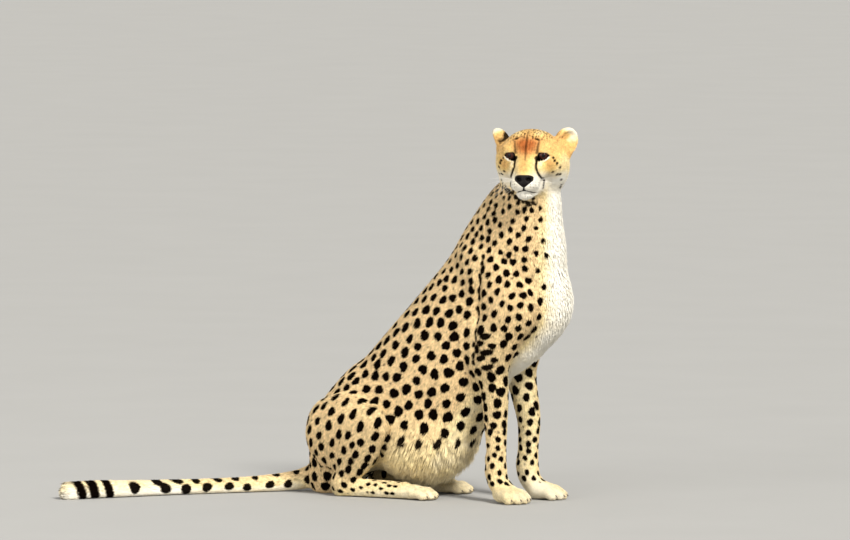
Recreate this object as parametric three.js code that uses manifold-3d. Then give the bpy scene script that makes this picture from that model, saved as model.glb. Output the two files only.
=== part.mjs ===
// A cheetah sitting upright with its head turned to its right and its tail laid out behind it.
// Millimetres, +Z up, +X towards the animal's front, +Y towards its left; it sits on the plane z = 0.
//
// The body is one smooth field: swept elliptical tubes and ellipsoids joined by soft blends, below zero
// inside. Each named piece is a net laid over that field, and thin cuts part it from its neighbours.
import * as THREE from 'three';
import { mergeVertices } from 'three/addons/utils/BufferGeometryUtils.js';
import Module from 'manifold-3d';

const wasm = await Module();
wasm.setup();

// ------------------------------------------------------------------------------ driving dimensions
const PARTING = 0.5; // clearance left by each thin cut
const SIDES = { left: 1, right: -1 };

const HEAD_CENTRE = [303, -39.5, 872]; // on the head's middle plane, at the height of the eyes
const HEAD_TURN = THREE.MathUtils.degToRad(-71); // to its right
const HEAD_NOD = THREE.MathUtils.degToRad(3); // nose down
const HEAD_LEAN = 6; // how far the back of the head sits to the left of the face
const SKULL_RADII = [66, 70, 54];

const EYE_RADIUS = 16.5;
const EYE_FORWARD = 55;
const EYE_ASIDE = 38.5;
const EYE_SPLAY = 0.27; // sideways part of the direction in which an eye looks
const EYE_CLEARANCE = 0.4;
const LID_THICKNESS = 3;
const LID_TILT = THREE.MathUtils.degToRad(3);
const LID_OPENING = { halfWidth: 15, above: 6.5, below: 10.6 };

// Stations of a tube: x, y, z, half width, half depth.
const BACKBONE = [
  [-262, 0, 62, 84, 66], // seat
  [-216, 0, 148, 108, 108],
  [-140, 0, 200, 118, 138], // loin
  [-60, 0, 226, 122, 166],
  [26, 0, 308, 118, 172],
  [106, 0, 412, 108, 160], // ribs
  [198, 0, 500, 100, 172],
  [232, 0, 602, 88, 146], // withers
  [257, -2, 692, 72, 112],
  [277, -4, 745, 63, 89],
  [288, -6, 795, 58, 76], // nape
];
const TAIL = [
  [-268, 0, 62, 40, 42],
  [-312, -8, 44, 33, 33],
  [-362, -38, 28, 25, 25],
  [-432, -104, 20, 21.5, 21.5],
  [-512, -192, 18.5, 20, 20],
  [-590, -282, 19, 20.5, 20.5],
  [-660, -376, 20.5, 22, 22],
  [-716, -446, 22, 23.5, 23.5],
  [-752, -490, 21.5, 22.5, 22.5],
];
const TAIL_SIDE = [0.6, -0.8, 0]; // level direction across the tail

// Each fore foot: where its wrist stands, how far the forearm slants forward and which way it points.
const FORE_FEET = {
  left: { wrist: [246, 61], slant: 14, turn: THREE.MathUtils.degToRad(4) },
  right: { wrist: [220, -61], slant: 0, turn: THREE.MathUtils.degToRad(-20) },
};
const TOES = [-1.5, -0.5, 0.5, 1.5]; // steps across the foot
const FORE_TOE = { reach: [76, 88], rootStep: 14, tipStep: 19.5, rootRadius: 14, tipRadius: 12.5 };
const HIND_TOE = { reach: [44, 56], rootStep: 13, tipStep: 17, rootRadius: 13, tipRadius: 11.5 };

// Each ear in the head's axes: its root, the way it stands and the way its hollow faces.
const EARS = {
  left: { root: [-16, 72 + HEAD_LEAN, 6], up: [-0.14, 0.5, 0.86], faces: [0.84, 0.52, 0.05] },
  right: { root: [-16, -76 + HEAD_LEAN, 2], up: [-0.16, -0.7, 0.68], faces: [0.02, -0.86, -0.46] },
};

// ------------------------------------------------------------------------------------- field parts
const vector = (a) => new THREE.Vector3(...a);

// Smooth union, rounding the joint over about k millimetres.
function blend(a, b, k) {
  const h = Math.max(k - Math.abs(a - b), 0) / k;
  return Math.min(a, b) - h * h * k * 0.25;
}

const carve = (a, b, k) => -blend(-a, b, k);

function ellipsoidDistance(x, y, z, rx, ry, rz) {
  const [u, v, w] = [x / rx, y / ry, z / rz];
  const size = Math.sqrt(u * u + v * v + w * w);
  const slope = Math.sqrt((u / rx) ** 2 + (v / ry) ** 2 + (w / rz) ** 2) + 1e-6;
  return (size * (size - 1)) / slope;
}

function ball(centre, radii) {
  return (p) => ellipsoidDistance(p.x - centre[0], p.y - centre[1], p.z - centre[2], ...radii);
}

// Catmull-Rom curve through stations, with every value carried along.
function smoothStations(stations, steps = 6) {
  const first = stations[0].map((v, i) => 2 * v - stations[1][i]);
  const last = stations.at(-1).map((v, i) => 2 * v - stations.at(-2)[i]);
  const all = [first, ...stations, last];
  const out = [];
  for (let s = 0; s < stations.length - 1; s++) {
    const [a, b, c, d] = all.slice(s, s + 4);
    for (let k = 0; k < steps; k++) {
      const t = k / steps;
      out.push(b.map((_, i) => 0.5 * (2 * b[i] + (c[i] - a[i]) * t
        + (2 * a[i] - 5 * b[i] + 4 * c[i] - d[i]) * t * t
        + (3 * b[i] - a[i] - 3 * c[i] + d[i]) * t * t * t)));
    }
  }
  return [...out, stations.at(-1)];
}

// Distance to a tube of elliptical section through the stations; `side` lies along its width.
function tube(stations, side = [0, 1, 0]) {
  const rings = smoothStations(stations);
  const spans = rings.slice(1).map((end, i) => {
    const start = rings[i];
    const from = vector(start.slice(0, 3));
    const run = vector(end.slice(0, 3)).sub(from);
    const along = run.clone().normalize();
    const across = vector(side);
    across.addScaledVector(along, -across.dot(along)).normalize();
    const up = along.clone().cross(across);
    const widths = [start[3], end[3] - start[3]];
    const depths = [start[4], end[4] - start[4]];
    return { from, run, along, across, up, widths, depths, length2: run.lengthSq() };
  });
  const q = new THREE.Vector3();
  return (p) => {
    let nearest = Infinity;
    for (const s of spans) {
      q.subVectors(p, s.from);
      const t = THREE.MathUtils.clamp(q.dot(s.run) / s.length2, 0, 1);
      q.addScaledVector(s.run, -t);
      const wide = s.widths[0] + t * s.widths[1];
      const deep = s.depths[0] + t * s.depths[1];
      const d = ellipsoidDistance(q.dot(s.across), q.dot(s.up), q.dot(s.along), wide, deep, Math.max(wide, deep));
      nearest = Math.min(nearest, d);
    }
    return nearest;
  };
}

// Joins fields in turn; each entry is a field and the softness of its joint.
function join(first, ...others) {
  return (p) => others.reduce((d, [field, k]) => blend(d, field(p), k), first(p));
}

// ------------------------------------------------------------------------------------------- trunk
const trunkField = join(
  tube(BACKBONE),
  [ball([14, 0, 156], [112, 102, 110]), 50], // belly
  [ball([302, 0, 492], [90, 60, 84]), 40], // breast
);

function shoulder(s) {
  const blade = tube([[150, s * 54, 606, 26, 34], [206, s * 76, 560, 32, 60], [278, s * 78, 482, 34, 54]]);
  const arm = tube([[278, s * 78, 482, 34, 54], [240, s * 84, 425, 38, 60], [210, s * 80, 362, 34, 50]]);
  return join(blade, [arm, 40]);
}

// -------------------------------------------------------------------------------------------- legs
// One toe, arched a little between its root and its tip.
function toe(root, tip, rootRadius, tipRadius) {
  const middle = root.map((v, i) => v * 0.42 + tip[i] * 0.58);
  const radius = (rootRadius + tipRadius) / 2;
  return tube([
    [...root, rootRadius, rootRadius],
    [middle[0], middle[1], middle[2] + 4, radius + 0.8, radius + 1.5],
    [...tip, tipRadius, tipRadius],
  ]);
}

// Four toes side by side; the middle pair reaches furthest.
function toes(origin, rootAhead, rootHeight, tipHeight, form) {
  return TOES.map((step) => {
    const ahead = form.reach[Math.abs(step) < 1 ? 1 : 0];
    const root = [origin[0] + rootAhead, origin[1] + step * form.rootStep, rootHeight];
    const tip = [origin[0] + ahead, origin[1] + step * form.tipStep, tipHeight];
    return toe(root, tip, form.rootRadius, form.tipRadius);
  });
}

function forepaw(name) {
  const { wrist, turn } = FORE_FEET[name];
  const pad = ball([wrist[0] + 38, wrist[1], 21], [36, 35, 23]);
  const paw = join(pad, ...toes(wrist, 42, 22, 12, FORE_TOE).map((t) => [t, 7]));
  const [c, n] = [Math.cos(turn), Math.sin(turn)];
  const q = new THREE.Vector3();
  return (p) => {
    const [x, y] = [p.x - wrist[0], p.y - wrist[1]];
    return paw(q.set(wrist[0] + x * c + y * n, wrist[1] - x * n + y * c, p.z));
  };
}

function foreleg(name) {
  const s = SIDES[name];
  const { wrist, slant } = FORE_FEET[name];
  const [x, y] = wrist;
  const column = tube([
    [214, s * 80, 410, 36, 52],
    [208 + 0.3 * slant, s * 76, 352, 34, 46],
    [218 + 0.6 * slant, s * 69, 280, 31, 37],
    [x - 1, s * 64, 200, 27, 30],
    [x - 1, s * 62, 130, 24, 26],
    [x - 3, y, 84, 26, 29],
    [x + 4, y, 52, 27, 27],
    [x + 22, y, 30, 30, 24],
  ]);
  return join(column, [ball([188, s * 78, 368], [24, 22, 30]), 25], [forepaw(name), 12]);
}

function hindleg(name) {
  const s = SIDES[name];
  const haunch = ball([-190, s * 88, 150], [106, 56, 90]);
  const thigh = tube([[-224, s * 82, 166, 50, 82], [-165, s * 104, 186, 46, 76], [-98, s * 118, 188, 36, 48]]);
  const shank = tube([
    [-92, s * 119, 188, 34, 42],
    [-120, s * 116, 135, 34, 48],
    [-160, s * 108, 80, 28, 36],
    [-186, s * 100, 40, 23, 26],
  ]);
  const foot = tube([
    [-192, s * 98, 24, 24, 25],
    [-110, s * 97, 22, 23, 23],
    [-30, s * 95, 21, 26, 22],
    [4, s * 94, 19, 30, 20],
  ]);
  const sole = join(ball([-196, s * 98, 31], [30, 24, 32]), [foot, 14]);
  return join(
    haunch,
    [thigh, 30],
    [shank, 26],
    [sole, 16],
    ...toes([0, s * 94], 10, 18, 11, HIND_TOE).map((t) => [t, 7]),
  );
}

// -------------------------------------------------------------------------------------------- head
// The head's own axes: x out of the face, y to its left, z up.
const headForward = new THREE.Vector3(
  Math.cos(HEAD_TURN) * Math.cos(HEAD_NOD),
  Math.sin(HEAD_TURN) * Math.cos(HEAD_NOD),
  -Math.sin(HEAD_NOD),
);
const headLeft = new THREE.Vector3(-Math.sin(HEAD_TURN), Math.cos(HEAD_TURN), 0);
const headUp = headForward.clone().cross(headLeft);
const headFrame = new THREE.Matrix4().makeBasis(headForward, headLeft, headUp).setPosition(...HEAD_CENTRE);
const intoHead = headFrame.clone().invert();

function skull() {
  const cheeks = Object.values(SIDES).flatMap((s) => [
    [ball([24, s * 46 + HEAD_LEAN / 2, -18], [42, 36, 36]), 28], // cheek bone
    [ball([-10, s * 54 + HEAD_LEAN, -38], [42, 35, 46]), 34], // angle of the jaw and ruff
    [ball([55, s * 34, 15], [15, 26, 11]), 16], // brow
    [ball([66, s * 25, -34], [28, 20, 22]), 14], // upper jaw
  ]);
  const pads = Object.values(SIDES).map((s) => [ball([94, s * 17.5, -68], [25, 19.5, 17.5]), 8]);
  return join(
    ball([-4, HEAD_LEAN / 2, 4], SKULL_RADII),
    [ball([32, 0, 22], [36, 48, 29]), 26], // forehead
    ...cheeks,
    [tube([[40, 0, -36, 44, 40], [74, 0, -52, 35, 33], [96, 0, -62, 30, 26]]), 18], // muzzle
    [tube([[48, 0, 14, 26, 19], [78, 0, -12, 20, 17], [104, 0, -38, 18, 14]]), 14], // bridge
    ...pads,
    [tube([[10, 0, -62, 44, 32], [56, 0, -82, 32, 22], [88, 0, -92, 20, 14]]), 12], // lower jaw
    [ball([93, 0, -91], [14, 18, 12]), 8], // chin
    [ball([109, 0, -53], [11, 22, 12]), 6], // nose leather
  );
}

// An ear's own axes in the head: x out of its hollow, z towards its tip.
function earFrame(name) {
  const { root, up, faces } = EARS[name];
  const x = vector(faces).normalize();
  const z = vector(up);
  z.addScaledVector(x, -z.dot(x)).normalize();
  return new THREE.Matrix4().makeBasis(x, z.clone().cross(x), z).setPosition(...root);
}

// A round leaf with a hollow in front, on a rounded root.
function ear(name) {
  const intoEar = earFrame(name).invert();
  const leaf = ball([-6, 0, 22], [22, 30, 43]);
  const hollow = ball([14, 0, 24], [27, 24, 37]);
  const root = ball([-6, 0, -6], [22, 28, 26]);
  const q = new THREE.Vector3();
  return (p) => {
    q.copy(p).applyMatrix4(intoEar);
    return blend(carve(leaf(q), hollow(q), 6), root(q), 12);
  };
}

const headShape = join(skull(), [ear('left'), 9], [ear('right'), 9]);

function headField(p) {
  return headShape(p.clone().applyMatrix4(intoHead));
}

// --------------------------------------------------------------------------------- the whole animal
const shoulders = join(shoulder(1), [shoulder(-1), 1]);
const forelegs = Object.keys(SIDES).map(foreleg);
const hindlegs = Object.keys(SIDES).map(hindleg);
const tailField = tube(TAIL, TAIL_SIDE);

function animal(p) {
  let d = blend(trunkField(p), shoulders(p), 26);
  d = blend(d, Math.min(...forelegs.map((leg) => leg(p))), 24);
  d = blend(d, Math.min(...hindlegs.map((leg) => leg(p))), 14);
  d = blend(d, tailField(p), 20);
  return blend(d, headField(p), 30);
}

// ---------------------------------------------------------------------------------------- the nets
// Lays a closed net of quads over the field inside a box with its own axes: one vertex in each lattice
// cell that the surface crosses, moved on to the surface by Newton's method.
function net(field, { low, high, cell, frame = new THREE.Matrix4() }) {
  const centre = low.map((v, i) => (v + high[i]) / 2);
  const half = low.map((v, i) => (high[i] - v) / 2);
  const inside = (p) => Math.max(
    field(p.clone().applyMatrix4(frame)),
    Math.abs(p.x - centre[0]) - half[0],
    Math.abs(p.y - centre[1]) - half[1],
    Math.abs(p.z - centre[2]) - half[2],
  );
  const count = half.map((h) => Math.ceil((2 * h) / cell) + 3);
  const base = centre.map((c, i) => c - ((count[i] - 1) / 2) * cell);
  const index = (i, j, k) => (i * count[1] + j) * count[2] + k;
  const values = new Float64Array(count[0] * count[1] * count[2]);
  const p = new THREE.Vector3();
  for (let i = 0; i < count[0]; i++) {
    for (let j = 0; j < count[1]; j++) {
      for (let k = 0; k < count[2]; k++) {
        p.set(base[0] + i * cell, base[1] + j * cell, base[2] + k * cell);
        values[index(i, j, k)] = inside(p);
      }
    }
  }

  const points = [];
  const numbers = new Map();
  const corners = [0, 1, 2, 3, 4, 5, 6, 7].map((c) => [c & 1, (c >> 1) & 1, (c >> 2) & 1]);
  const edges = [];
  corners.forEach((a, m) => corners.forEach((b, n) => {
    if (m < n && a.reduce((sum, v, i) => sum + Math.abs(v - b[i]), 0) === 1) edges.push([a, b]);
  }));
  for (let i = 0; i < count[0] - 1; i++) {
    for (let j = 0; j < count[1] - 1; j++) {
      for (let k = 0; k < count[2] - 1; k++) {
        const mean = new THREE.Vector3();
        let crossings = 0;
        for (const [a, b] of edges) {
          const va = values[index(i + a[0], j + a[1], k + a[2])];
          const vb = values[index(i + b[0], j + b[1], k + b[2])];
          if (va < 0 === vb < 0) continue;
          mean.add(vector(a).lerp(vector(b), va / (va - vb)));
          crossings++;
        }
        if (!crossings) continue;
        mean.divideScalar(crossings).add(new THREE.Vector3(i, j, k)).multiplyScalar(cell).add(vector(base));
        numbers.set(index(i, j, k), points.length);
        points.push(settle(inside, mean, cell));
      }
    }
  }

  const faces = [];
  const strides = [index(1, 0, 0), index(0, 1, 0), index(0, 0, 1)];
  for (let i = 1; i < count[0] - 1; i++) {
    for (let j = 1; j < count[1] - 1; j++) {
      for (let k = 1; k < count[2] - 1; k++) {
        const here = index(i, j, k);
        strides.forEach((stride, axis) => {
          const filled = values[here] < 0;
          if (filled === values[here + stride] < 0) return;
          const [m, n] = [strides[(axis + 1) % 3], strides[(axis + 2) % 3]];
          const ring = [here - m - n, here - n, here, here - m].map((c) => numbers.get(c));
          if (!filled) ring.reverse();
          const [a, b, c, d] = ring;
          const short = points[a].distanceTo(points[c]) < points[b].distanceTo(points[d]);
          faces.push(...(short ? [a, b, c, a, c, d] : [a, b, d, b, c, d]));
        });
      }
    }
  }
  return new wasm.Manifold(new wasm.Mesh({
    numProp: 3,
    vertProperties: Float32Array.from(points.flatMap((v) => v.applyMatrix4(frame).toArray())),
    triVerts: Uint32Array.from(faces),
  }));
}

function settle(field, point, cell) {
  const h = 0.5;
  const limit = cell * 0.6;
  const p = point.clone();
  for (let round = 0; round < 3; round++) {
    const slope = new THREE.Vector3();
    for (const axis of ['x', 'y', 'z']) {
      const [a, b] = [p.clone(), p.clone()];
      a[axis] -= h;
      b[axis] += h;
      slope[axis] = (field(b) - field(a)) / (2 * h);
    }
    const step = slope.multiplyScalar(-field(p) / (slope.lengthSq() + 1e-6));
    p.add(step.clampLength(0, limit));
  }
  return p;
}

// ---------------------------------------------------------------------------- solids for the cuts
function solid(geometry, matrix = new THREE.Matrix4()) {
  const shape = geometry.clone().applyMatrix4(matrix);
  shape.deleteAttribute('normal');
  shape.deleteAttribute('uv');
  const merged = mergeVertices(shape, 1e-4);
  return new wasm.Manifold(new wasm.Mesh({
    numProp: 3,
    vertProperties: merged.attributes.position.array,
    triVerts: new Uint32Array(merged.index.array),
  }));
}

// A box between two corners, grown on every side, in axes given by a matrix.
function block(low, high, grow = 0, matrix = new THREE.Matrix4()) {
  const size = low.map((v, i) => high[i] - v + 2 * grow);
  const centre = low.map((v, i) => (v + high[i]) / 2);
  const place = matrix.clone().multiply(new THREE.Matrix4().makeTranslation(...centre));
  return solid(new THREE.BoxGeometry(...size), place);
}

// Everything beyond a plane, out to 1.5 m; the normal points into the block.
function beyond(point, normal, grow) {
  const z = vector(normal).normalize();
  const side = Math.abs(z.x) < 0.9 ? new THREE.Vector3(1, 0, 0) : new THREE.Vector3(0, 1, 0);
  const x = side.addScaledVector(z, -side.dot(z)).normalize();
  const frame = new THREE.Matrix4().makeBasis(x, z.clone().cross(x), z).setPosition(...point);
  return block([-750, -750, -grow], [750, 750, 1500], 0, frame);
}

function ellipsoid(centre, radii, matrix, segments = [12, 8]) {
  const place = matrix.clone()
    .multiply(new THREE.Matrix4().makeTranslation(...centre))
    .multiply(new THREE.Matrix4().makeScale(...radii));
  return solid(new THREE.SphereGeometry(1, ...segments), place);
}

// The two corners of a box that reaches from `inner` to `outer` on one side of the middle plane.
function sideways(s, inner, outer) {
  return s > 0 ? [inner, outer] : [-outer, -inner];
}

// ------------------------------------------------------------------------------- zones of the cuts
// Each zone is a function of how far it is grown.
function earZone(name) {
  const frame = headFrame.clone().multiply(earFrame(name));
  return (grow) => block([-36, -44, 0], [44, 44, 80], grow, frame)
    .subtract(ellipsoid([-4, HEAD_LEAN / 2, 4], SKULL_RADII.map((r) => r + 9 - grow), headFrame, [24, 16]));
}

const noseZone = (grow) => block([98, -23, -67], [140, 23, -39], grow, headFrame);
const headZone = (grow) => beyond([290, -20, 800], [0, -0.42, 0.9], grow);
const neckZone = (grow) => beyond([252, 0, 622], [0.25, 0, 0.97], grow);

function forepawZone(name) {
  const [inner, outer] = sideways(SIDES[name], 6, 160);
  return (grow) => block([120, inner, -60], [420, outer, 64], grow);
}

function forelegZone(name) {
  const [inner, outer] = sideways(SIDES[name], 26, 160);
  return (grow) => block([162, inner, -60], [420, outer, 420], grow)
    .intersect(beyond([218, 0, 274], [0.57, 0, -0.82], grow));
}

function hindfootZone(name) {
  const [inner, outer] = sideways(SIDES[name], 56, 170);
  return (grow) => block([-238, inner, -60], [110, outer, 52], grow);
}

function thighZone(name) {
  const y = SIDES[name] * 130;
  const place = new THREE.Matrix4().makeTranslation(-176, y, 148);
  return (grow) => solid(new THREE.CylinderGeometry(1, 1, 1, 32),
    place.clone().multiply(new THREE.Matrix4().makeScale(130 + grow, 136 + 2 * grow, 101 + grow)));
}

// Axes that run along the tail from its root.
const tailFrame = new THREE.Matrix4()
  .makeRotationZ(Math.atan2(TAIL.at(-1)[1] - TAIL[1][1], TAIL.at(-1)[0] - TAIL[1][0]))
  .setPosition(TAIL[1][0], TAIL[1][1], 0);

function tailZone(point, normal) {
  return (grow) => beyond(point, normal, grow).intersect(block([-900, -640, -60], [-240, 120, 130], grow));
}

// ------------------------------------------------------------------------------------ named pieces
const COAT_TAN = 0xc9985c;
const BELLY_CREAM = 0xe6d6b8;
const EAR_BLACK = 0x2c241d;
const NOSE_BLACK = 0x191513;
const IRIS_AMBER = 0x8a5a22;

// In the order of cutting: each piece is what lies in its zone and in none of the zones before it.
const PIECES = [
  ...Object.keys(SIDES).map((name) => ({
    name: `ear_${name}`, zone: earZone(name), cell: 9.5, colour: EAR_BLACK,
    low: [-50, -56, -20], high: [56, 56, 90], frame: headFrame.clone().multiply(earFrame(name)),
  })),
  {
    name: 'nose', zone: noseZone, cell: 9, colour: NOSE_BLACK,
    low: [84, -40, -84], high: [140, 40, -20], frame: headFrame,
  },
  {
    name: 'head', zone: headZone, cell: 17, colour: COAT_TAN,
    low: [-110, -120, -160], high: [140, 120, 90], frame: headFrame,
  },
  {
    name: 'neck', zone: neckZone, cell: 36, colour: COAT_TAN,
    low: [100, -130, 560], high: [440, 130, 890],
  },
  ...Object.entries(SIDES).flatMap(([name, s]) => {
    const [near, far] = sideways(s, -10, 150);
    const [inner, outer] = sideways(s, 20, 175);
    return [
      {
        name: `forepaw_${name}`, zone: forepawZone(name), cell: 13.5, colour: COAT_TAN,
        low: [160, near, -12], high: [360, far, 80],
      },
      {
        name: `foreleg_${name}`, zone: forelegZone(name), cell: 24, colour: COAT_TAN,
        low: [110, near, 40], high: [330, far, 420],
      },
      {
        name: `hindfoot_${name}`, zone: hindfootZone(name), cell: 18, colour: COAT_TAN,
        low: [-260, inner, -14], high: [80, outer, 68],
      },
      {
        name: `thigh_${name}`, zone: thighZone(name), cell: 38, colour: COAT_TAN,
        low: [-340, inner, 20], high: [-10, outer, 280],
      },
    ];
  }),
  {
    name: 'tail_tip', zone: tailZone([-652, -366, 20], [-0.64, -0.77, 0]), cell: 19, colour: EAR_BLACK,
    low: [420, -80, -14], high: [660, 60, 70], frame: tailFrame,
  },
  {
    name: 'tail_middle', zone: tailZone([-492, -169, 20], [-0.67, -0.74, 0]), cell: 17, colour: COAT_TAN,
    low: [170, -80, -14], high: [540, 80, 70], frame: tailFrame,
  },
  {
    name: 'tail_base', zone: tailZone([-332, -18, 40], [-0.9, -0.44, 0]), cell: 20, colour: COAT_TAN,
    low: [-40, -110, -14], high: [300, 110, 120], frame: tailFrame,
  },
  {
    name: 'chest', zone: (grow) => beyond([58, 0, 360], [0.75, 0, 0.66], grow), cell: 37, colour: COAT_TAN,
    low: [-200, -160, 130], high: [420, 160, 700],
  },
  {
    name: 'belly', zone: () => block([-500, -300, -60], [600, 300, 900]), cell: 48, colour: BELLY_CREAM,
    low: [-345, -160, -30], high: [330, 160, 640],
  },
];

// Where two sheets of a net touch at one point, each is drawn back into its own side.
function drawApart(geometry) {
  const places = geometry.attributes.position;
  const normals = geometry.attributes.normal;
  const shared = new Map();
  for (let v = 0; v < places.count; v++) {
    const key = [places.getX(v), places.getY(v), places.getZ(v)].map((c) => c.toFixed(2)).join();
    shared.set(key, [...(shared.get(key) ?? []), v]);
  }
  const [place, normal] = [new THREE.Vector3(), new THREE.Vector3()];
  for (const group of shared.values()) {
    for (const v of group.length > 1 ? group : []) {
      normal.fromBufferAttribute(normals, v);
      place.fromBufferAttribute(places, v).addScaledVector(normal, -PARTING / 4);
      places.setXYZ(v, place.x, place.y, Math.max(place.z, 0));
    }
  }
}

function meshOf(name, shape, colour, roughness = 0.85) {
  const { numProp, vertProperties, triVerts } = shape.getMesh();
  const geometry = new THREE.BufferGeometry();
  const places = new Float32Array((vertProperties.length / numProp) * 3);
  for (let v = 0; v < places.length / 3; v++) {
    for (let i = 0; i < 3; i++) places[v * 3 + i] = vertProperties[v * numProp + i];
  }
  geometry.setAttribute('position', new THREE.BufferAttribute(places, 3));
  geometry.setIndex(new THREE.BufferAttribute(new Uint32Array(triVerts), 1));
  geometry.computeVertexNormals();
  drawApart(geometry);
  const material = new THREE.MeshStandardMaterial({ color: colour, roughness, metalness: 0 });
  const mesh = new THREE.Mesh(geometry, material);
  mesh.name = name;
  return mesh;
}

// The body of a cut can hold loose slivers beside it; the piece is the largest body.
function largest(shape) {
  return shape.decompose().reduce((a, b) => (a.volume() > b.volume() ? a : b));
}

const floor = block([-1000, -1000, -200], [1000, 1000, 0]);

function eyeFrame(s) {
  const x = new THREE.Vector3(1, s * EYE_SPLAY, -0.02).normalize();
  const y = new THREE.Vector3(0, 0, 1).cross(x).normalize();
  const own = new THREE.Matrix4().makeBasis(x, y, x.clone().cross(y));
  return headFrame.clone().multiply(own.setPosition(EYE_FORWARD, s * EYE_ASIDE, 0));
}

// The gap between the lids, as a prism out of the face: flat above, deepest near the nose.
function lidGap(s) {
  const { halfWidth, above, below } = LID_OPENING;
  const almond = new THREE.Shape();
  almond.moveTo(-s * halfWidth * 0.95, above * 0.7);
  almond.lineTo(s * halfWidth * 0.3, above * 0.9);
  almond.quadraticCurveTo(s * halfWidth * 0.7, above * 0.7, s * halfWidth, 0);
  almond.quadraticCurveTo(s * halfWidth * 0.1, -below * 1.5, -s * halfWidth * 0.85, -below * 0.75);
  const prism = new THREE.ExtrudeGeometry(almond, { depth: 40, bevelEnabled: false, curveSegments: 6 });
  const across = new THREE.Matrix4().makeBasis(
    new THREE.Vector3(0, 1, 0),
    new THREE.Vector3(0, 0, 1),
    new THREE.Vector3(1, 0, 0),
  );
  const tilt = new THREE.Matrix4().makeRotationX(s * LID_TILT);
  return solid(prism, eyeFrame(s).multiply(tilt).multiply(across));
}

// Adds the lids round both eyes and opens their sockets.
function withEyes(head) {
  let d = head;
  for (const s of Object.values(SIDES)) {
    const lid = EYE_RADIUS + LID_THICKNESS;
    const socket = EYE_RADIUS + EYE_CLEARANCE;
    d = d.add(ellipsoid([0, 0, 0], [lid, lid, lid], eyeFrame(s), [14, 9]))
      .subtract(ellipsoid([0, 0, 0], [socket, socket, socket], eyeFrame(s)))
      .subtract(lidGap(s));
  }
  return d;
}

const cheetah = new THREE.Group();
const cut = [];
for (const piece of PIECES) {
  let shape = net(animal, piece).subtract(floor).intersect(piece.zone(0));
  for (const zone of cut) shape = shape.subtract(zone(PARTING));
  if (piece.name === 'head') shape = withEyes(shape);
  cut.push(piece.zone);
  cheetah.add(meshOf(piece.name, largest(shape), piece.colour));
}
for (const [name, s] of Object.entries(SIDES)) {
  const radii = [EYE_RADIUS, EYE_RADIUS, EYE_RADIUS];
  cheetah.add(meshOf(`eye_${name}`, ellipsoid([0, 0, 0], radii, eyeFrame(s)), IRIS_AMBER, 0.15));
}

// The origin is under the middle of the whole animal, on the plane that it sits on.
const reach = new THREE.Box3().setFromObject(cheetah);
const middle = reach.getCenter(new THREE.Vector3());
cheetah.position.set(-middle.x, -middle.y, 0);

const model = new THREE.Group();
model.add(cheetah);

export default model;
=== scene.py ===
"""A seated cheetah, life size, as a museum shows one: one skin, a coat of solid tufts, eyes, claws, whiskers.

The skin is the zero surface of a distance field: tubes swept along named stations and ellipsoids, run
together with smooth joins, then drawn in by the depth of the coat. Tufts of hair lie over it, and skin and
tufts carry the same markings. Shapes are worked out in the maker's frame: millimetres, x forward, y to the
animal's left, z up from the floor. place() carries them into the model's own frame, in metres.
"""

from concurrent.futures import ThreadPoolExecutor

import bpy
import numpy as np
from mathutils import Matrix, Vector


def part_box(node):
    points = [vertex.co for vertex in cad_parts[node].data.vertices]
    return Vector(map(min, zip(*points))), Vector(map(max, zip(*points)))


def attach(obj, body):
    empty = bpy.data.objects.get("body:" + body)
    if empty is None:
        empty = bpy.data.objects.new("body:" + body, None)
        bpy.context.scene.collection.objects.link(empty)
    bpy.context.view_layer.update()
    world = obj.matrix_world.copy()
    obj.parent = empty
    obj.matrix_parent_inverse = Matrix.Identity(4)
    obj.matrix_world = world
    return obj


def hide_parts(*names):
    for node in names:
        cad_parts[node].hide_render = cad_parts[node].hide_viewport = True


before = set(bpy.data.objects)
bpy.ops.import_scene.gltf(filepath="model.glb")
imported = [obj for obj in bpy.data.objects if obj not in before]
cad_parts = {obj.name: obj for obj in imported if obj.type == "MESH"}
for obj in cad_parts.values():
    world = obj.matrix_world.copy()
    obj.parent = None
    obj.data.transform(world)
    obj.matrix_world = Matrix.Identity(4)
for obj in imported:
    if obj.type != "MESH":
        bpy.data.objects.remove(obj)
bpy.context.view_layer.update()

SIDES = {"left": 1, "right": -1}
FAR = 400.0  # distance given to points that a piece can't touch
HANDFUL = 25000  # points worked out at once
WORKERS = ThreadPoolExecutor(4)

# ------------------------------------------------------------------------------ the animal's measures

HEAD_CENTRE = np.array([303.0, -39.5, 872.0])  # on the head's middle plane, at the height of the eyes
HEAD_TURN = np.radians(-71)  # to its right
HEAD_NOD = np.radians(3)  # nose down
HEAD_LEAN = 6.0  # how far the back of the head sits to the left of the face
EYE_RADIUS = 16.5
EYE_FORWARD = 55.0
EYE_ASIDE = 38.5
EYE_SPLAY = 0.27  # sideways part of the direction in which an eye looks
LID_THICKNESS = 3.0
NOSE_TIP = np.array([116.0, 0.0, -54.0])  # in the head's axes

# Stations of a tube: x, y, z, half width, half depth.
BACKBONE = [
    (-262, 0, 62, 84, 66), (-216, 0, 148, 108, 108),  # seat
    (-140, 0, 200, 118, 138), (-60, 0, 226, 122, 166),  # loin
    (26, 0, 308, 118, 172), (106, 0, 412, 108, 160), (198, 0, 500, 100, 172),  # ribs
    (232, 0, 602, 88, 146), (257, -2, 692, 72, 112),  # withers
    (277, -4, 745, 63, 89), (288, -6, 795, 58, 76),  # nape
]
TAIL = [
    (-268, 0, 62, 40, 42), (-312, -8, 44, 33, 33), (-362, -38, 28, 25, 25), (-432, -104, 20, 21.5, 21.5),
    (-512, -192, 18.5, 20, 20), (-590, -282, 19, 20.5, 20.5), (-660, -376, 20.5, 22, 22),
    (-716, -446, 22, 23.5, 23.5), (-752, -490, 21.5, 22.5, 22.5),
]
TAIL_SIDE = (0.6, -0.8, 0)  # level direction across the tail

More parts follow.
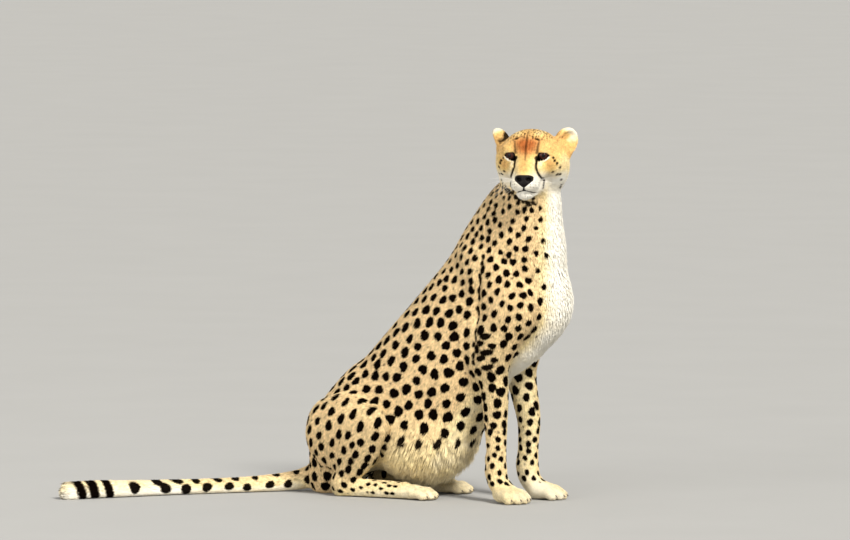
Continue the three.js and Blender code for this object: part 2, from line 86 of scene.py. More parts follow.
# Each fore foot: where its wrist stands, how far the forearm slants forward and which way it points.
FORE_FEET = {
    "left": {"wrist": (246, 61), "slant": 14, "turn": np.radians(4)},
    "right": {"wrist": (220, -61), "slant": 0, "turn": np.radians(-20)},
}
TOES = ((-1.5, 76), (-0.5, 88), (0.5, 88), (1.5, 76))  # spread across the foot, reach ahead of the wrist
HIND_TOES = ((-1.5, 44), (-0.5, 56), (0.5, 56), (1.5, 44))

# Each ear in the head's axes: its root, the way it stands and the way its hollow faces.
EARS = {
    "left": {"root": (-16, 72 + HEAD_LEAN, 6), "up": (-0.14, 0.50, 0.86), "faces": (0.84, 0.52, 0.05)},
    "right": {"root": (-16, -76 + HEAD_LEAN, 2), "up": (-0.16, -0.70, 0.68), "faces": (0.02, -0.86, -0.46)},
}


def unit(v):
    """Vectors of length one."""
    v = np.asarray(v, float)
    return v / (np.linalg.norm(v, axis=-1, keepdims=True) + 1e-12)


def ease(x, low, high):
    """0 at low, 1 at high, with a soft start and end; low may be the larger."""
    t = np.clip((x - low) / (high - low), 0, 1)
    return t * t * (3 - 2 * t)


def bell(p, centre, radii):
    """1 at the centre, falling to 1/e over the radii."""
    return np.exp(-(((p - np.asarray(centre, float)) / np.asarray(radii, float)) ** 2).sum(-1))


# ------------------------------------------------------------------------------ parts of the field


def blend(a, b, k):
    """Joins two distances over a width k: the lesser, less a parabola where they are close."""
    h = np.maximum(k - np.abs(a - b), 0.0) / k
    return np.minimum(a, b) - h * h * k * 0.25


def carve(a, b, k):
    """Cuts b out of a, with an edge rounded over k."""
    return -blend(-a, b, k)


STRETCH = 6  # straight lengths of tube from one station to the next


def smooth_stations(stations, steps=STRETCH):
    """Stations on a Catmull-Rom curve through the given ones."""
    s = np.asarray(stations, float)
    p = np.vstack([2 * s[0] - s[1], s, 2 * s[-1] - s[-2]])
    t = np.linspace(0, 1, steps, endpoint=False)[None, :, None]
    a, b, c, d = (p[i : len(s) - 1 + i, None, :] for i in range(4))
    curve = 0.5 * (2 * b + (c - a) * t + (2 * a - 5 * b + 4 * c - d) * t**2 + (3 * b - a - 3 * c + d) * t**3)
    return np.vstack([curve.reshape(-1, s.shape[1]), s[-1:]])


def near_box(P, low, high, margin=52.0):
    """True for points inside a box or within a margin of it."""
    return np.all((P > np.asarray(low) - margin) & (P < np.asarray(high) + margin), axis=1)


def trace(P, stations, side=(0, 1, 0)):
    """For each point, the nearest length of a tube of elliptical section: the distance to its skin, the way
    that it runs, the length along it, and the place across it in half widths and half depths."""
    s = smooth_stations(stations)
    best = np.full(len(P), np.inf)
    way, along, across = np.zeros((len(P), 3)), np.zeros(len(P)), np.zeros((len(P), 2))
    run = 0.0
    for a, b in zip(s[:-1], s[1:]):
        g, T, t, x, y = piece_of_tube(P, a, b, side)
        closer = g < best
        best[closer] = g[closer]
        way[closer] = T
        step = np.linalg.norm(b[:3] - a[:3])
        along[closer] = run + t[closer] * step
        across[closer] = np.column_stack([x, y])[closer]
        run += step
    return best, way, along, across


def piece_of_tube(P, a, b, side):
    """Distance to an elliptical length of tube: the gradient-corrected value of its implicit ellipsoid at the
    nearest point of the axis."""
    ab = b[:3] - a[:3]
    T = unit(ab)
    S = unit(np.asarray(side, float) - (np.asarray(side, float) @ T) * T)
    N = np.cross(T, S)
    t = np.clip((P - a[:3]) @ ab / (ab @ ab), 0, 1)
    q = P - a[:3] - t[:, None] * ab
    ra = a[3] + t * (b[3] - a[3])
    rd = a[4] + t * (b[4] - a[4])
    rt = np.maximum(ra, rd)
    x, y, z = (q @ S) / ra, (q @ N) / rd, (q @ T) / rt
    k0 = np.sqrt(x * x + y * y + z * z)
    k1 = np.sqrt((x / ra) ** 2 + (y / rd) ** 2 + (z / rt) ** 2) + 1e-6
    return k0 * (k0 - 1) / k1, T, t, x, y


def tube(P, stations, side=(0, 1, 0)):
    """Distance to a tube of elliptical section swept along its stations, stretch by stretch."""
    s = smooth_stations(stations)
    d = np.full(len(P), FAR)
    for i in range(0, len(s) - 1, STRETCH):
        stretch = s[i : i + STRETCH + 1]
        reach = stretch[:, 3:5].max()
        near = near_box(P, stretch[:, :3].min(0) - reach, stretch[:, :3].max(0) + reach)
        Q, best = P[near], d[near]
        for a, b in zip(stretch[:-1], stretch[1:]):
            best = np.minimum(best, piece_of_tube(Q, a, b, side)[0])
        d[near] = best
    return d


def ball(P, centre, radii):
    """Distance to an ellipsoid, corrected by its gradient."""
    c, r = np.asarray(centre, float), np.asarray(radii, float)
    d = np.full(len(P), FAR)
    near = near_box(P, c - r.max(), c + r.max())
    q = P[near] - c
    k0 = np.sqrt(((q / r) ** 2).sum(1))
    k1 = np.sqrt(((q / r**2) ** 2).sum(1)) + 1e-6
    d[near] = k0 * (k0 - 1) / k1
    return d


# ------------------------------------------------------------------------------ trunk, legs and tail


def trunk(P):
    """A tube along the backbone, run together with the balls of belly and breast."""
    d = tube(P, BACKBONE)
    d = blend(d, ball(P, (14, 0, 156), (112, 102, 110)), 50)  # belly
    return blend(d, ball(P, (302, 0, 492), (90, 60, 84)), 40)  # breast


def shoulder(P, s):
    """Shoulder blade and upper arm, each a tube, run together."""
    blade = tube(P, [(150, s * 54, 606, 26, 34), (206, s * 76, 560, 32, 60), (278, s * 78, 482, 34, 54)])
    arm = tube(P, [(278, s * 78, 482, 34, 54), (240, s * 84, 425, 38, 60), (210, s * 80, 362, 34, 50)])
    return blend(blade, arm, 40)


def foreleg_stations(side):
    """From the upper arm down through the elbow and wrist into the foot."""
    s, foot = SIDES[side], FORE_FEET[side]
    wx, wy = foot["wrist"]
    k = foot["slant"]
    return [
        (214, s * 80, 410, 36, 52), (208 + 0.3 * k, s * 76, 352, 34, 46),
        (218 + 0.6 * k, s * 69, 280, 31, 37), (wx - 1, s * 64, 200, 27, 30), (wx - 1, s * 62, 130, 24, 26),
        (wx - 3, wy, 84, 26, 29), (wx + 4, wy, 52, 27, 27), (wx + 22, wy, 30, 30, 24),
    ]


def toe(P, root, tip, root_radius, tip_radius):
    """A toe that arches 4 mm over the line from its root to its tip."""
    knuckle = np.array(root) * 0.42 + np.array(tip) * 0.58 + (0, 0, 4)
    middle = (root_radius + tip_radius) / 2
    ends = (*root, root_radius, root_radius), (*tip, tip_radius, tip_radius)
    return tube(P, [ends[0], (*knuckle, middle + 0.8, middle + 1.5), ends[1]])


def turned_about(P, centre, angle):
    """Points turned by -angle about an upright axis, so that a turned foot can be made straight."""
    c, n = np.cos(angle), np.sin(angle)
    x, y = P[:, 0] - centre[0], P[:, 1] - centre[1]
    return np.column_stack([centre[0] + x * c + y * n, centre[1] - x * n + y * c, P[:, 2]])


def forepaw(P, side):
    """A ball with four toes."""
    wx, wy = FORE_FEET[side]["wrist"]
    P = turned_about(P, (wx, wy), FORE_FEET[side]["turn"])
    d = ball(P, (wx + 38, wy, 21), (36, 35, 23))
    for spread, ahead in TOES:
        root, tip = (wx + 42, wy + spread * 14, 22), (wx + ahead, wy + spread * 19.5, 12)
        d = blend(d, toe(P, root, tip, 14, 12.5), 7)
    return d


def foreleg(P, side):
    """The leg's tube with the point of the elbow and the paw."""
    d = tube(P, foreleg_stations(side))
    d = blend(d, ball(P, (188, SIDES[side] * 78, 368), (24, 22, 30)), 25)
    return blend(d, forepaw(P, side), 12)


def shank_stations(s):
    """From the knee down and back to the heel."""
    return [(-92, s * 119, 188, 34, 42), (-120, s * 116, 135, 34, 48), (-160, s * 108, 80, 28, 36),
            (-186, s * 100, 40, 23, 26)]


def hindfoot_stations(s):
    """From the heel forward along the floor."""
    return [(-192, s * 98, 24, 24, 25), (-110, s * 97, 22, 23, 23), (-30, s * 95, 21, 26, 22),
            (4, s * 94, 19, 30, 20)]


def thigh(P, s):
    """The folded thigh: a ball with a tube from the hip to the knee."""
    hip_to_knee = [(-224, s * 82, 166, 50, 82), (-165, s * 104, 186, 46, 76), (-98, s * 118, 188, 36, 48)]
    return blend(ball(P, (-190, s * 88, 150), (106, 56, 90)), tube(P, hip_to_knee), 30)


def hindfoot(P, s):
    """The heel's ball and the tube of the long foot."""
    heel = ball(P, (-196, s * 98, 31), (30, 24, 32))
    return blend(heel, tube(P, hindfoot_stations(s)), 14)


def hindleg(P, side):
    """Thigh, shank and foot, with four toes."""
    s = SIDES[side]
    d = blend(thigh(P, s), tube(P, shank_stations(s)), 26)
    d = blend(d, hindfoot(P, s), 16)
    for spread, ahead in HIND_TOES:
        d = blend(d, toe(P, (10, s * 94 + spread * 13, 18), (ahead, s * 94 + spread * 17, 11), 13, 11.5), 7)
    return d


# ------------------------------------------------------------------------------ head, in its own axes


def head_axes():
    """Rows: forward, left and up of the head."""
    c, n = np.cos(HEAD_NOD), np.sin(HEAD_NOD)
    forward = np.array([np.cos(HEAD_TURN) * c, np.sin(HEAD_TURN) * c, -n])
    left = np.array([-np.sin(HEAD_TURN), np.cos(HEAD_TURN), 0.0])
    return np.array([forward, left, np.cross(forward, left)])


HEAD = head_axes()


def to_head(P):
    """Points in the head's own axes."""
    return (P - HEAD_CENTRE) @ HEAD.T


def from_head(p):
    """And back again."""
    return HEAD_CENTRE + np.asarray(p, float) @ HEAD


def skull(p):
    """The head without eyes, mouth or ears: balls and tubes run together."""
    d = ball(p, (-4, HEAD_LEAN / 2, 4), (66, 70, 54))
    d = blend(d, ball(p, (32, 0, 22), (36, 48, 29)), 26)  # forehead
    for s in (1, -1):
        d = blend(d, ball(p, (24, s * 46 + HEAD_LEAN / 2, -18), (42, 36, 36)), 28)  # cheek bone
        d = blend(d, ball(p, (-10, s * 54 + HEAD_LEAN, -38), (42, 35, 46)), 34)  # jaw and ruff
        d = blend(d, ball(p, (55, s * 34, 15), (15, 26, 11)), 16)  # brow
        d = blend(d, ball(p, (66, s * 25, -34), (28, 20, 22)), 14)  # upper jaw
    d = blend(d, tube(p, [(40, 0, -36, 44, 40), (74, 0, -52, 35, 33), (96, 0, -62, 30, 26)]), 18)  # muzzle
    d = blend(d, tube(p, [(48, 0, 14, 26, 19), (78, 0, -12, 20, 17), (104, 0, -38, 18, 14)]), 14)  # bridge
    for s in (1, -1):
        d = blend(d, ball(p, (94, s * 17.5, -68), (25, 19.5, 17.5)), 8)  # whisker pad
    d = blend(d, tube(p, [(10, 0, -62, 44, 32), (56, 0, -82, 32, 22), (88, 0, -92, 20, 14)]), 12)  # jaw
    d = blend(d, ball(p, (93, 0, -91), (14, 18, 12)), 8)  # chin
    return blend(d, ball(p, (109, 0, -53), (11, 22, 12)), 6)  # nose


def eye_axes(s):
    """Rows: the way that an eye looks, its left and its up."""
    look = unit((1.0, s * EYE_SPLAY, -0.02))
    left = unit(np.cross((0, 0, 1), look))
    return np.array([look, left, np.cross(look, left)])


def eye_centre(s):
    """The middle of an eyeball, in the head's axes."""
    return np.array([EYE_FORWARD, s * EYE_ASIDE, 0.0])


def between_lids(p, s):
    """Below zero in the opening of an eye, and the point in the eye's own axes. The upper edge is nearly
    flat and drops at both corners; the lower one is a bow that hangs lowest towards the nose."""
    q = (p - eye_centre(s)) @ eye_axes(s).T
    u = np.clip(q[:, 1] * s / 14.6, -1.5, 1.5)  # -1 at the nose, 1 at the outer corner
    inner, outer = np.clip(-u, 0, 2), np.clip(u, 0, 2)
    upper = 5.6 - 1.0 * u - 5.2 * outer**3 - 6.0 * inner**6
    lower = -10.6 * (1 - np.clip((u + 0.35) / 1.35, -2, 2) ** 2) - 3.6 * np.clip(inner, 0, 1.2) ** 2
    gap = np.maximum(q[:, 2] - upper, lower - q[:, 2])
    return np.maximum(gap, np.abs(q[:, 1]) - 15.0), q


def lids(p, d):
    """Adds the lids over each eyeball and cuts the opening between them."""
    for s in (1, -1):
        d = blend(d, ball(p, eye_centre(s), (EYE_RADIUS + LID_THICKNESS,) * 3), 8)
        gap, q = between_lids(p, s)
        gap = np.maximum(gap, -q[:, 0])
        d = np.where(np.linalg.norm(p - eye_centre(s), axis=1) < 45, carve(d, gap, 1.6), d)
    return d


def lip_line(p):
    """Height of the line between the lips: an arch at the middle that goes on dropping to the corners."""
    y = np.abs(p[:, 1])
    return -80 - 8.5 * (1 - np.exp(-((y / 13) ** 2))) - 5.0 * ease(y, 12, 34)


def face(p):
    """The skull with its mouth, the groove under the nose, nostrils and lids."""
    d = skull(p)
    mouth = np.exp(-(((p[:, 2] - lip_line(p)) / 2.0) ** 2)) * np.clip((p[:, 0] - 48) / 12, 0, 1) * (d > -9)
    d = d + 3.8 * mouth
    philtrum = np.exp(-((p[:, 1] / 1.8) ** 2)) * np.clip((-66 - p[:, 2]) / 4, 0, 1)
    d = d + 2.6 * philtrum * np.clip((p[:, 2] + 84) / 5, 0, 1) * (p[:, 0] > 80)
    for s in (1, -1):
        d = carve(d, ball(p, (119, s * 12.5, -54), (8, 5.2, 3.4)), 2)  # nostril
    return lids(p, d)


EAR_HOLLOW = ((18, 0, 22), (27, 23.5, 32))  # centre and radii of the ball cut from each ear


def ear_axes(side):
    """Rows: the way that the hollow faces, across it and up the ear."""
    e = EARS[side]
    f = unit(e["faces"])
    up = np.asarray(e["up"], float)
    up = unit(up - (up @ f) * f)
    return np.array([f, np.cross(up, f), up])


def in_ear(p, side):
    """Points in an ear's own axes: out of its hollow, across it and up."""
    return (p - np.asarray(EARS[side]["root"], float)) @ ear_axes(side).T


def ear(p, side):
    """A round leaf with a hollow cut in its front, on a broad root."""
    q = in_ear(p, side)
    d = carve(ball(q, (-6, 0, 20), (22, 29.5, 38)), ball(q, *EAR_HOLLOW), 6)
    return blend(d, ball(q, (-6, 0, -6), (22, 28, 26)), 12)


def head(P):
    """Face and ears, worked out only near the head."""
    d = np.full(len(P), FAR)
    p = to_head(P)
    near = near_box(p, (-120, -150, -140), (150, 150, 140), 10)
    h = face(p[near])
    for side in SIDES:
        h = blend(h, ear(p[near], side), 9)
    d[near] = h
    return d


# ------------------------------------------------------------------------------ coat and skin


def coat_surface(P):
    """Distance to the outside of the coat, cut flat where the animal rests on the floor."""
    d = trunk(P)
    for s in SIDES.values():
        d = blend(d, shoulder(P, s), 26)
    d = blend(d, np.minimum(foreleg(P, "left"), foreleg(P, "right")), 24)
    d = blend(d, np.minimum(hindleg(P, "left"), hindleg(P, "right")), 14)
    d = blend(d, tube(P, TAIL, TAIL_SIDE), 20)
    d = blend(d, head(P), 30)
    return carve(d, P[:, 2], 5)


def coat_depth(P):
    """Millimetres from the skin out to the tips: deep on breast and belly, thin on face, ears and feet."""
    p = to_head(P)
    deep = 4.5 + 4.0 * bell(P, (330, 0, 560), (90, 90, 130)) + 20.0 * bell(P, (85, 0, 45), (110, 100, 70))
    fore = ease(P[:, 0], 130, 175) * ease(P[:, 2], 360, 120)
    hind = ease(P[:, 2], 85, 50) * ease(P[:, 0], -250, -215) * ease(np.abs(P[:, 1]), 48, 66)
    deep = deep + (1.7 - deep) * np.maximum(fore, hind)
    deep = deep + (0.8 - deep) * ease(P[:, 2], 30, 4)
    on_face = ease(np.linalg.norm((p - (46, 0, -20)) / (84, 74, 80), axis=1), 1.35, 0.9)
    on_ear = np.maximum(*(ease(np.linalg.norm(in_ear(p, e) - (0, 0, 30), axis=1), 62, 44) for e in SIDES))
    return deep + (1.3 - deep) * np.maximum(on_face, on_ear)


# The fold between the ribs and the upper arm: x and z of a line down each side.
FOLD = [(206, 648), (198, 570), (190, 490), (186, 410), (184, 330)]
FOLD_DEPTH, FOLD_WIDTH, THIGH_FOLD_WIDTH = 7.0, 11.0, 8.0


def folds(P):
    """How deep the skin is drawn in: along the folds behind each upper arm and in front of each thigh by the
    depth times exp(-(distance from the fold / width)^2), eased out at the ends, and between the locks of the
    belly by two sine waves that run along its sides."""
    deep = np.zeros(len(P))
    near = near_box(P, (140, -130, 290), (260, 130, 690), 0) & (np.abs(P[:, 1]) > 36)
    q = P[near][:, (0, 2)]
    d, along = distance_to_path(q, FOLD)
    ends = np.sin(np.pi * np.clip(along, 0, 1)) ** 0.6
    deep[near] = FOLD_DEPTH * ends * np.exp(-((d / FOLD_WIDTH) ** 2))
    near = near_box(P, (-150, -140, 60), (-20, 140, 260), 0) & (np.abs(P[:, 1]) > 50)
    q = np.column_stack([P[near, 0], np.abs(P[near, 1]), P[near, 2]])
    ends = ease(q[:, 2], 60, 90) * ease(q[:, 2], 260, 210) * ease(q[:, 0], -150, -110) * ease(q[:, 1], 50, 66)
    deep[near] = FOLD_DEPTH * ends * np.exp(-(((thigh(q, 1) - trunk(q)) / THIGH_FOLD_WIDTH) ** 2))
    near = near_box(P, (-70, -140, 10), (220, 140, 200), 0)
    x, y, z = P[near].T
    ends = ease(z, 190, 130) * ease(z, 14, 40) * ease(x, -70, -10) * ease(x, 220, 170)
    across = 0.92 * x + 0.38 * z + 7 * np.sin(z / 29 + y / 21)
    deep[near] += ends * (1.5 * (1 + np.sin(across / 3.7)) + 1.0 * (1 + np.sin(across / 7.9 + y / 13)))
    return deep


def skin_field(P):
    """Distance to the skin, worked out in handfuls of points side by side."""
    handfuls = np.array_split(P, max(1, len(P) // HANDFUL))
    return np.concatenate(list(WORKERS.map(lambda Q: coat_surface(Q) + coat_depth(Q) + folds(Q), handfuls)))


# ------------------------------------------------------------------------------ making the skin's mesh


BLOCK = 5  # lattice cells along the side of a block


def lattice_values(field, low, counts, cell):
    """The field on a lattice, worked out only in blocks that the surface may cross."""
    blocks = counts // BLOCK
    axes = [low[i] + (np.arange(blocks[i]) + 0.5) * cell * BLOCK for i in range(3)]
    centres = np.stack(np.meshgrid(*axes, indexing="ij"), -1).reshape(-1, 3)
    at_centres = field(centres).reshape(blocks)

    def fill(a):
        """The values of blocks, given to all their cells."""
        return a.repeat(BLOCK, 0).repeat(BLOCK, 1).repeat(BLOCK, 2)

    crossed = fill(np.abs(at_centres) < cell * BLOCK * 1.25 + 3)
    values = np.ones(counts + 1, np.float32)
    values[:-1, :-1, :-1] = np.where(fill(at_centres) < 0, -1.0, 1.0)
    wanted = np.zeros(counts + 1, bool)
    for dx, dy, dz in np.ndindex(2, 2, 2):
        wanted[dx : counts[0] + dx, dy : counts[1] + dy, dz : counts[2] + dz] |= crossed
    places = np.argwhere(wanted)
    values[tuple(places.T)] = field(low + places * cell)
    return values, crossed


def fill_pinches(v):
    """Makes the outer corners solid on every lattice square whose signs alternate round it, because there two
    sheets of the net would share an edge."""
    pinched = True
    while pinched:
        pinched = False
        for plane in ((0, 1), (1, 2), (2, 0)):
            w = np.moveaxis(v, plane, (0, 1))
            a, b, c, d = w[:-1, :-1], w[:-1, 1:], w[1:, 1:], w[1:, :-1]
            alternating = ((a < 0) == (c < 0)) & ((b < 0) == (d < 0)) & ((a < 0) != (b < 0))
            if alternating.any():
                pinched = True
                for corner in (a, b, c, d):
                    corner[alternating] = np.minimum(corner[alternating], -0.05)


def net(field, low, high, cell):
    """A surface net of the field's zero level: one vertex in each mixed cell, at the mean of its edge
    crossings, and one quad over each lattice edge that changes sign."""
    low = np.asarray(low, float)
    counts = (np.ceil((np.asarray(high) - low) / cell / BLOCK) * BLOCK).astype(int)
    v, crossed = lattice_values(field, low, counts, cell)
    fill_pinches(v)
    inside = v < 0
    total = np.zeros(counts, np.uint8)
    for dx, dy, dz in np.ndindex(2, 2, 2):
        total += inside[dx : counts[0] + dx, dy : counts[1] + dy, dz : counts[2] + dz]
    cells = np.argwhere((total > 0) & (total < 8) & crossed)
    number = np.full(counts, -1, np.int32)
    number[tuple(cells.T)] = np.arange(len(cells))
    sums, crossings = np.zeros((len(cells), 3)), np.zeros(len(cells))
    quads = []
    for axis in range(3):
        o1, o2 = (axis + 1) % 3, (axis + 2) % 3
        for i, j in np.ndindex(2, 2):
            near = np.zeros(3, int)
            near[[o1, o2]] = i, j
            far = near + np.eye(3, dtype=int)[axis]
            va, vb = v[tuple((cells + near).T)], v[tuple((cells + far).T)]
            change = (va < 0) != (vb < 0)
            point = np.tile(near.astype(float), (len(cells), 1))
            point[:, axis] = np.where(change, va / np.where(change, va - vb, 1), 0)
            sums[change] += point[change]
            crossings += change
        start, end = [slice(1, n) for n in counts], [slice(1, n) for n in counts]
        start[axis], end[axis] = slice(0, counts[axis]), slice(1, counts[axis] + 1)
        sa, sb = inside[tuple(start)], inside[tuple(end)]
        edges = np.argwhere(sa != sb)
        base = edges.copy()
        base[:, [o1, o2]] += 1
        corners = []
        for i, j in ((1, 1), (0, 1), (0, 0), (1, 0)):
            c = base.copy()
            c[:, o1] -= i
            c[:, o2] -= j
            corners.append(number[tuple(c.T)])
        q = np.stack(corners, 1)
        outward = sa[tuple(edges.T)]
        q[~outward] = q[~outward][:, ::-1]
        quads.append(q[(q >= 0).all(1)])
    return low + (cells + sums / crossings[:, None]) * cell, np.vstack(quads)


def triangles(P, quads):
    """Each quad cut along its shorter diagonal."""
    a, b, c, d = quads.T
    short = np.linalg.norm(P[a] - P[c], axis=1) < np.linalg.norm(P[b] - P[d], axis=1)
    one = np.where(short[:, None], np.column_stack([a, b, c]), np.column_stack([a, b, d]))
    two = np.where(short[:, None], np.column_stack([a, c, d]), np.column_stack([b, c, d]))
    return np.vstack([one, two])


CORNERS = np.array([(1, -1, -1), (-1, -1, 1), (-1, 1, -1), (1, 1, 1)], float)  # of a tetrahedron
PROBE = 0.3  # half the side of the cube that the tetrahedron fits in


def slope(field, P):
    """The field's value and gradient at each point, from the corners of a small tetrahedron round it."""
    f = field((P[None] + CORNERS[:, None] * PROBE).reshape(-1, 3)).reshape(4, -1)
    return f.mean(0), f.T @ CORNERS / (4 * PROBE)


def settle(field, P, rounds, limit=2.0):
    """Newton steps along the gradient onto the zero level, each at most limit long."""
    for _ in range(rounds):
        f, g = slope(field, P)
        step = -(f / ((g * g).sum(1) + 1e-6))[:, None] * g
        size = np.linalg.norm(step, axis=1, keepdims=True)
        P = P + step * np.minimum(1, limit / (size + 1e-9))
    return P


def evened(P, tris, share):
    """Each vertex moved part of the way to the mean of its neighbours."""
    edges = np.vstack([tris[:, [0, 1]], tris[:, [1, 2]], tris[:, [2, 0]]])
    count = np.bincount(edges[:, 0], minlength=len(P))
    mean = np.column_stack([np.bincount(edges[:, 0], P[edges[:, 1], k], len(P)) for k in range(3)])
    return P + share * (mean / count[:, None] - P)


def split(P, tris, marked):
    """Cuts the marked triangles in four and their neighbours in two, with no crack between them."""
    corners = tris[:, [[0, 1], [1, 2], [2, 0]]]
    key = corners.min(2).astype(np.int64) * len(P) + corners.max(2)
    while True:
        cut = np.unique(key[marked])
        is_cut = np.isin(key, cut)
        more = (is_cut.sum(1) >= 2) & ~marked
        if not more.any():
            break
        marked = marked | more
    middle = len(P) + np.searchsorted(cut, key)
    new = (P[cut // len(P)] + P[cut % len(P)]) / 2
    a, b, c = tris[marked].T
    ab, bc, ca = middle[marked].T
    four = np.vstack([np.column_stack(f) for f in ((a, ab, ca), (ab, b, bc), (ca, bc, c), (ab, bc, ca))])
    halves = []
    for k in range(3):
        row = is_cut[:, k] & ~marked
        a, b, c = tris[row][:, [k, (k + 1) % 3, (k + 2) % 3]].T
        m = middle[row, k]
        halves += [np.column_stack([a, m, c]), np.column_stack([m, b, c])]
    whole = tris[~is_cut.any(1)]
    return np.vstack([P, new]), np.vstack([whole, four, *halves])


def fineness(P):
    """How many times the skin is split: once on head and feet, again at eyes, nose and mouth."""
    p = to_head(P)
    on_head = near_box(p, (-75, -130, -115), (130, 130, 110), 0) & (coat_surface(P) > -20)
    feet = (P[:, 2] < 70) & (P[:, 0] > -20) & (P[:, 2] > 4)
    eyes = np.minimum(*(np.linalg.norm(p - eye_centre(s) - (12, 0, -2), axis=1) for s in (1, -1))) < 27
    muzzle = (p[:, 0] > 78) & (p[:, 2] < -30) & (p[:, 2] > -104) & (np.abs(p[:, 1]) < 44)
    return (on_head | feet).astype(int) + (on_head & (eyes | muzzle))


SKIN_LOW, SKIN_HIGH = (-801.7, -546.3, -11.2), (410, 185, 990)
SKIN_CELL = 5.6


def make_skin():
    """The skin's vertices, triangles and normals."""
    P, quads = net(skin_field, SKIN_LOW, SKIN_HIGH, SKIN_CELL)
    P = settle(skin_field, P, 2)
    tris = triangles(P, quads)
    P = settle(skin_field, evened(P, tris, 0.5), 1)
    for level in (1, 2):
        old = len(P)
        P, tris = split(P, tris, fineness(P[tris].mean(1)) >= level)
        P[old:] = settle(skin_field, P[old:], 2)
        fine = np.unique(tris[fineness(P[tris].mean(1)) >= level])
        P[fine] = settle(skin_field, evened(P, tris, 0.4)[fine], 1)
    return P, tris, unit(slope(skin_field, P)[1])


# ------------------------------------------------------------------------------ the lie of the coat


def parts_near(P):
    """For each part of the body: distance, the way its hair lies, and two values for where a point is on it:
    one along it and one across it, which grows outward, but on the trunk towards the belly and on the tail
    upward."""
    parts = {}
    d, way, along, across = trace(P, BACKBONE)
    belly_side = -across[:, 1] / (np.linalg.norm(across, axis=1) + 1e-6)
    hang = np.clip(belly_side + 0.35, 0, 1)[:, None] * np.array([0, 0, -0.9])
    parts["trunk"] = (d, -way + hang, along, belly_side)

    def limb(name, stations):
        """A part whose hair lies along its tube; its last value is 1 on the outer side."""
        d, way, along, across = trace(P, stations)
        parts[name + side] = (d, way, along, across[:, 0] * s)

    for side, s in SIDES.items():
        down = np.tile(unit([-0.25, 0, -1.0]), (len(P), 1))
        parts["shoulder_" + side] = (shoulder(P, s) + 4, down, P[:, 2], P[:, 1] * s)
        limb("foreleg_", foreleg_stations(side))
        down = np.tile(unit([-0.42, 0, -0.9]), (len(P), 1))
        parts["thigh_" + side] = (thigh(P, s), down, P[:, 0], P[:, 1] * s)
        limb("shank_", shank_stations(s))
        limb("hindfoot_", hindfoot_stations(s))
    d, way, along, across = trace(P, TAIL, TAIL_SIDE)
    parts["tail"] = (d, way, along, across[:, 1])
    p = to_head(P)
    away = unit(p - NOSE_TIP + (6, 0, 0)) @ HEAD
    parts["head"] = (head(P), away, p[:, 0], np.abs(p[:, 1]))
    return parts


SHARE_REACH = 9.0  # millimetres over which a part's share falls to 1/e


def shares(parts):
    """How much each part rules at each point: falls off by distance, and adds up to one."""
    names = list(parts)
    d = np.column_stack([parts[n][0] for n in names])
    w = np.exp(-(d - d.min(1, keepdims=True)) / SHARE_REACH)
    w /= w.sum(1, keepdims=True)
    return {n: w[:, i] for i, n in enumerate(names)}


def lie_of_coat(parts, share, N):
    """The way that the hair lies along the skin: tailwards and down on the trunk, down the legs, out along
    the tail and away from the nose on the head."""
    way = sum(share[n][:, None] * unit(parts[n][1]) for n in parts)
    way -= (way * N).sum(1, keepdims=True) * N
    return unit(way)


# ------------------------------------------------------------------------------ markings


def distance_to_path(q, path):
    """Distance in a plane to a broken line, and how far along it, from 0 to 1."""
    best, along = np.full(len(q), np.inf), np.zeros(len(q))
    path = np.asarray(path, float)
    for i, (a, b) in enumerate(zip(path[:-1], path[1:])):
        ab = b - a
        t = np.clip((q - a) @ ab / (ab @ ab), 0, 1)
        d = np.linalg.norm(q - a - t[:, None] * ab, axis=1)
        along = np.where(d < best, (i + t) / (len(path) - 1), along)
        best = np.minimum(best, d)
    return best, along


# Lines of the face: how far out from its middle plane and how high over the eyes each point is.
TEAR_LINE = [(25.0, -5), (26.5, -16), (26.5, -27), (32, -42), (38, -56), (39, -69), (36.5, -87)]
BROW_STREAK = [(30, 33), (28.5, 20), (26.5, 7)]
FOREHEAD_STREAK = [(0, 54), (1.0, 36), (-0.8, 20), (0.4, -8)]
RED_STREAKS = ([(10, 37), (7, 24), (8, 14)], [(15, 33), (17, 22), (14, 11)], [(23, 30), (20, 20), (21, 13)])


def behind(p):
    """Millimetres to add so that the lines of the face end where its front does."""
    return np.clip(28 + 12 * ease(p[:, 2], -50, -70) - p[:, 0], 0, 100) * 0.5


def tear_lines(p):
    """Distance to the edge of the black line from each eye to the mouth, below zero inside it."""
    shift = 4.5 * ease(p[:, 2], -54, -66) * (p[:, 1] < 0)
    d, t = distance_to_path(np.column_stack([np.abs(p[:, 1]) + shift, p[:, 2]]), TEAR_LINE)
    return d - (2.9 - 0.9 * t + 1.2 * ease(t, 0.12, 0)) + behind(p)


def brow_lines(p):
    """Distance to the edge of the soft dark streaks over each eye and down the middle of the forehead."""
    d, t = distance_to_path(np.column_stack([np.abs(p[:, 1]), p[:, 2]]), BROW_STREAK)
    middle, u = distance_to_path(p[:, 1:], FOREHEAD_STREAK)
    return np.minimum(d - (1.5 + 1.8 * t), middle - (0.9 + 1.8 * np.sin(np.pi * u))) + behind(p)


def red_lines(p):
    """Distance to the edge of the faint thin streaks between them."""
    out = np.column_stack([np.abs(p[:, 1]), p[:, 2]])
    return np.min([distance_to_path(out, path)[0] for path in RED_STREAKS], axis=0) - 0.9 + behind(p)


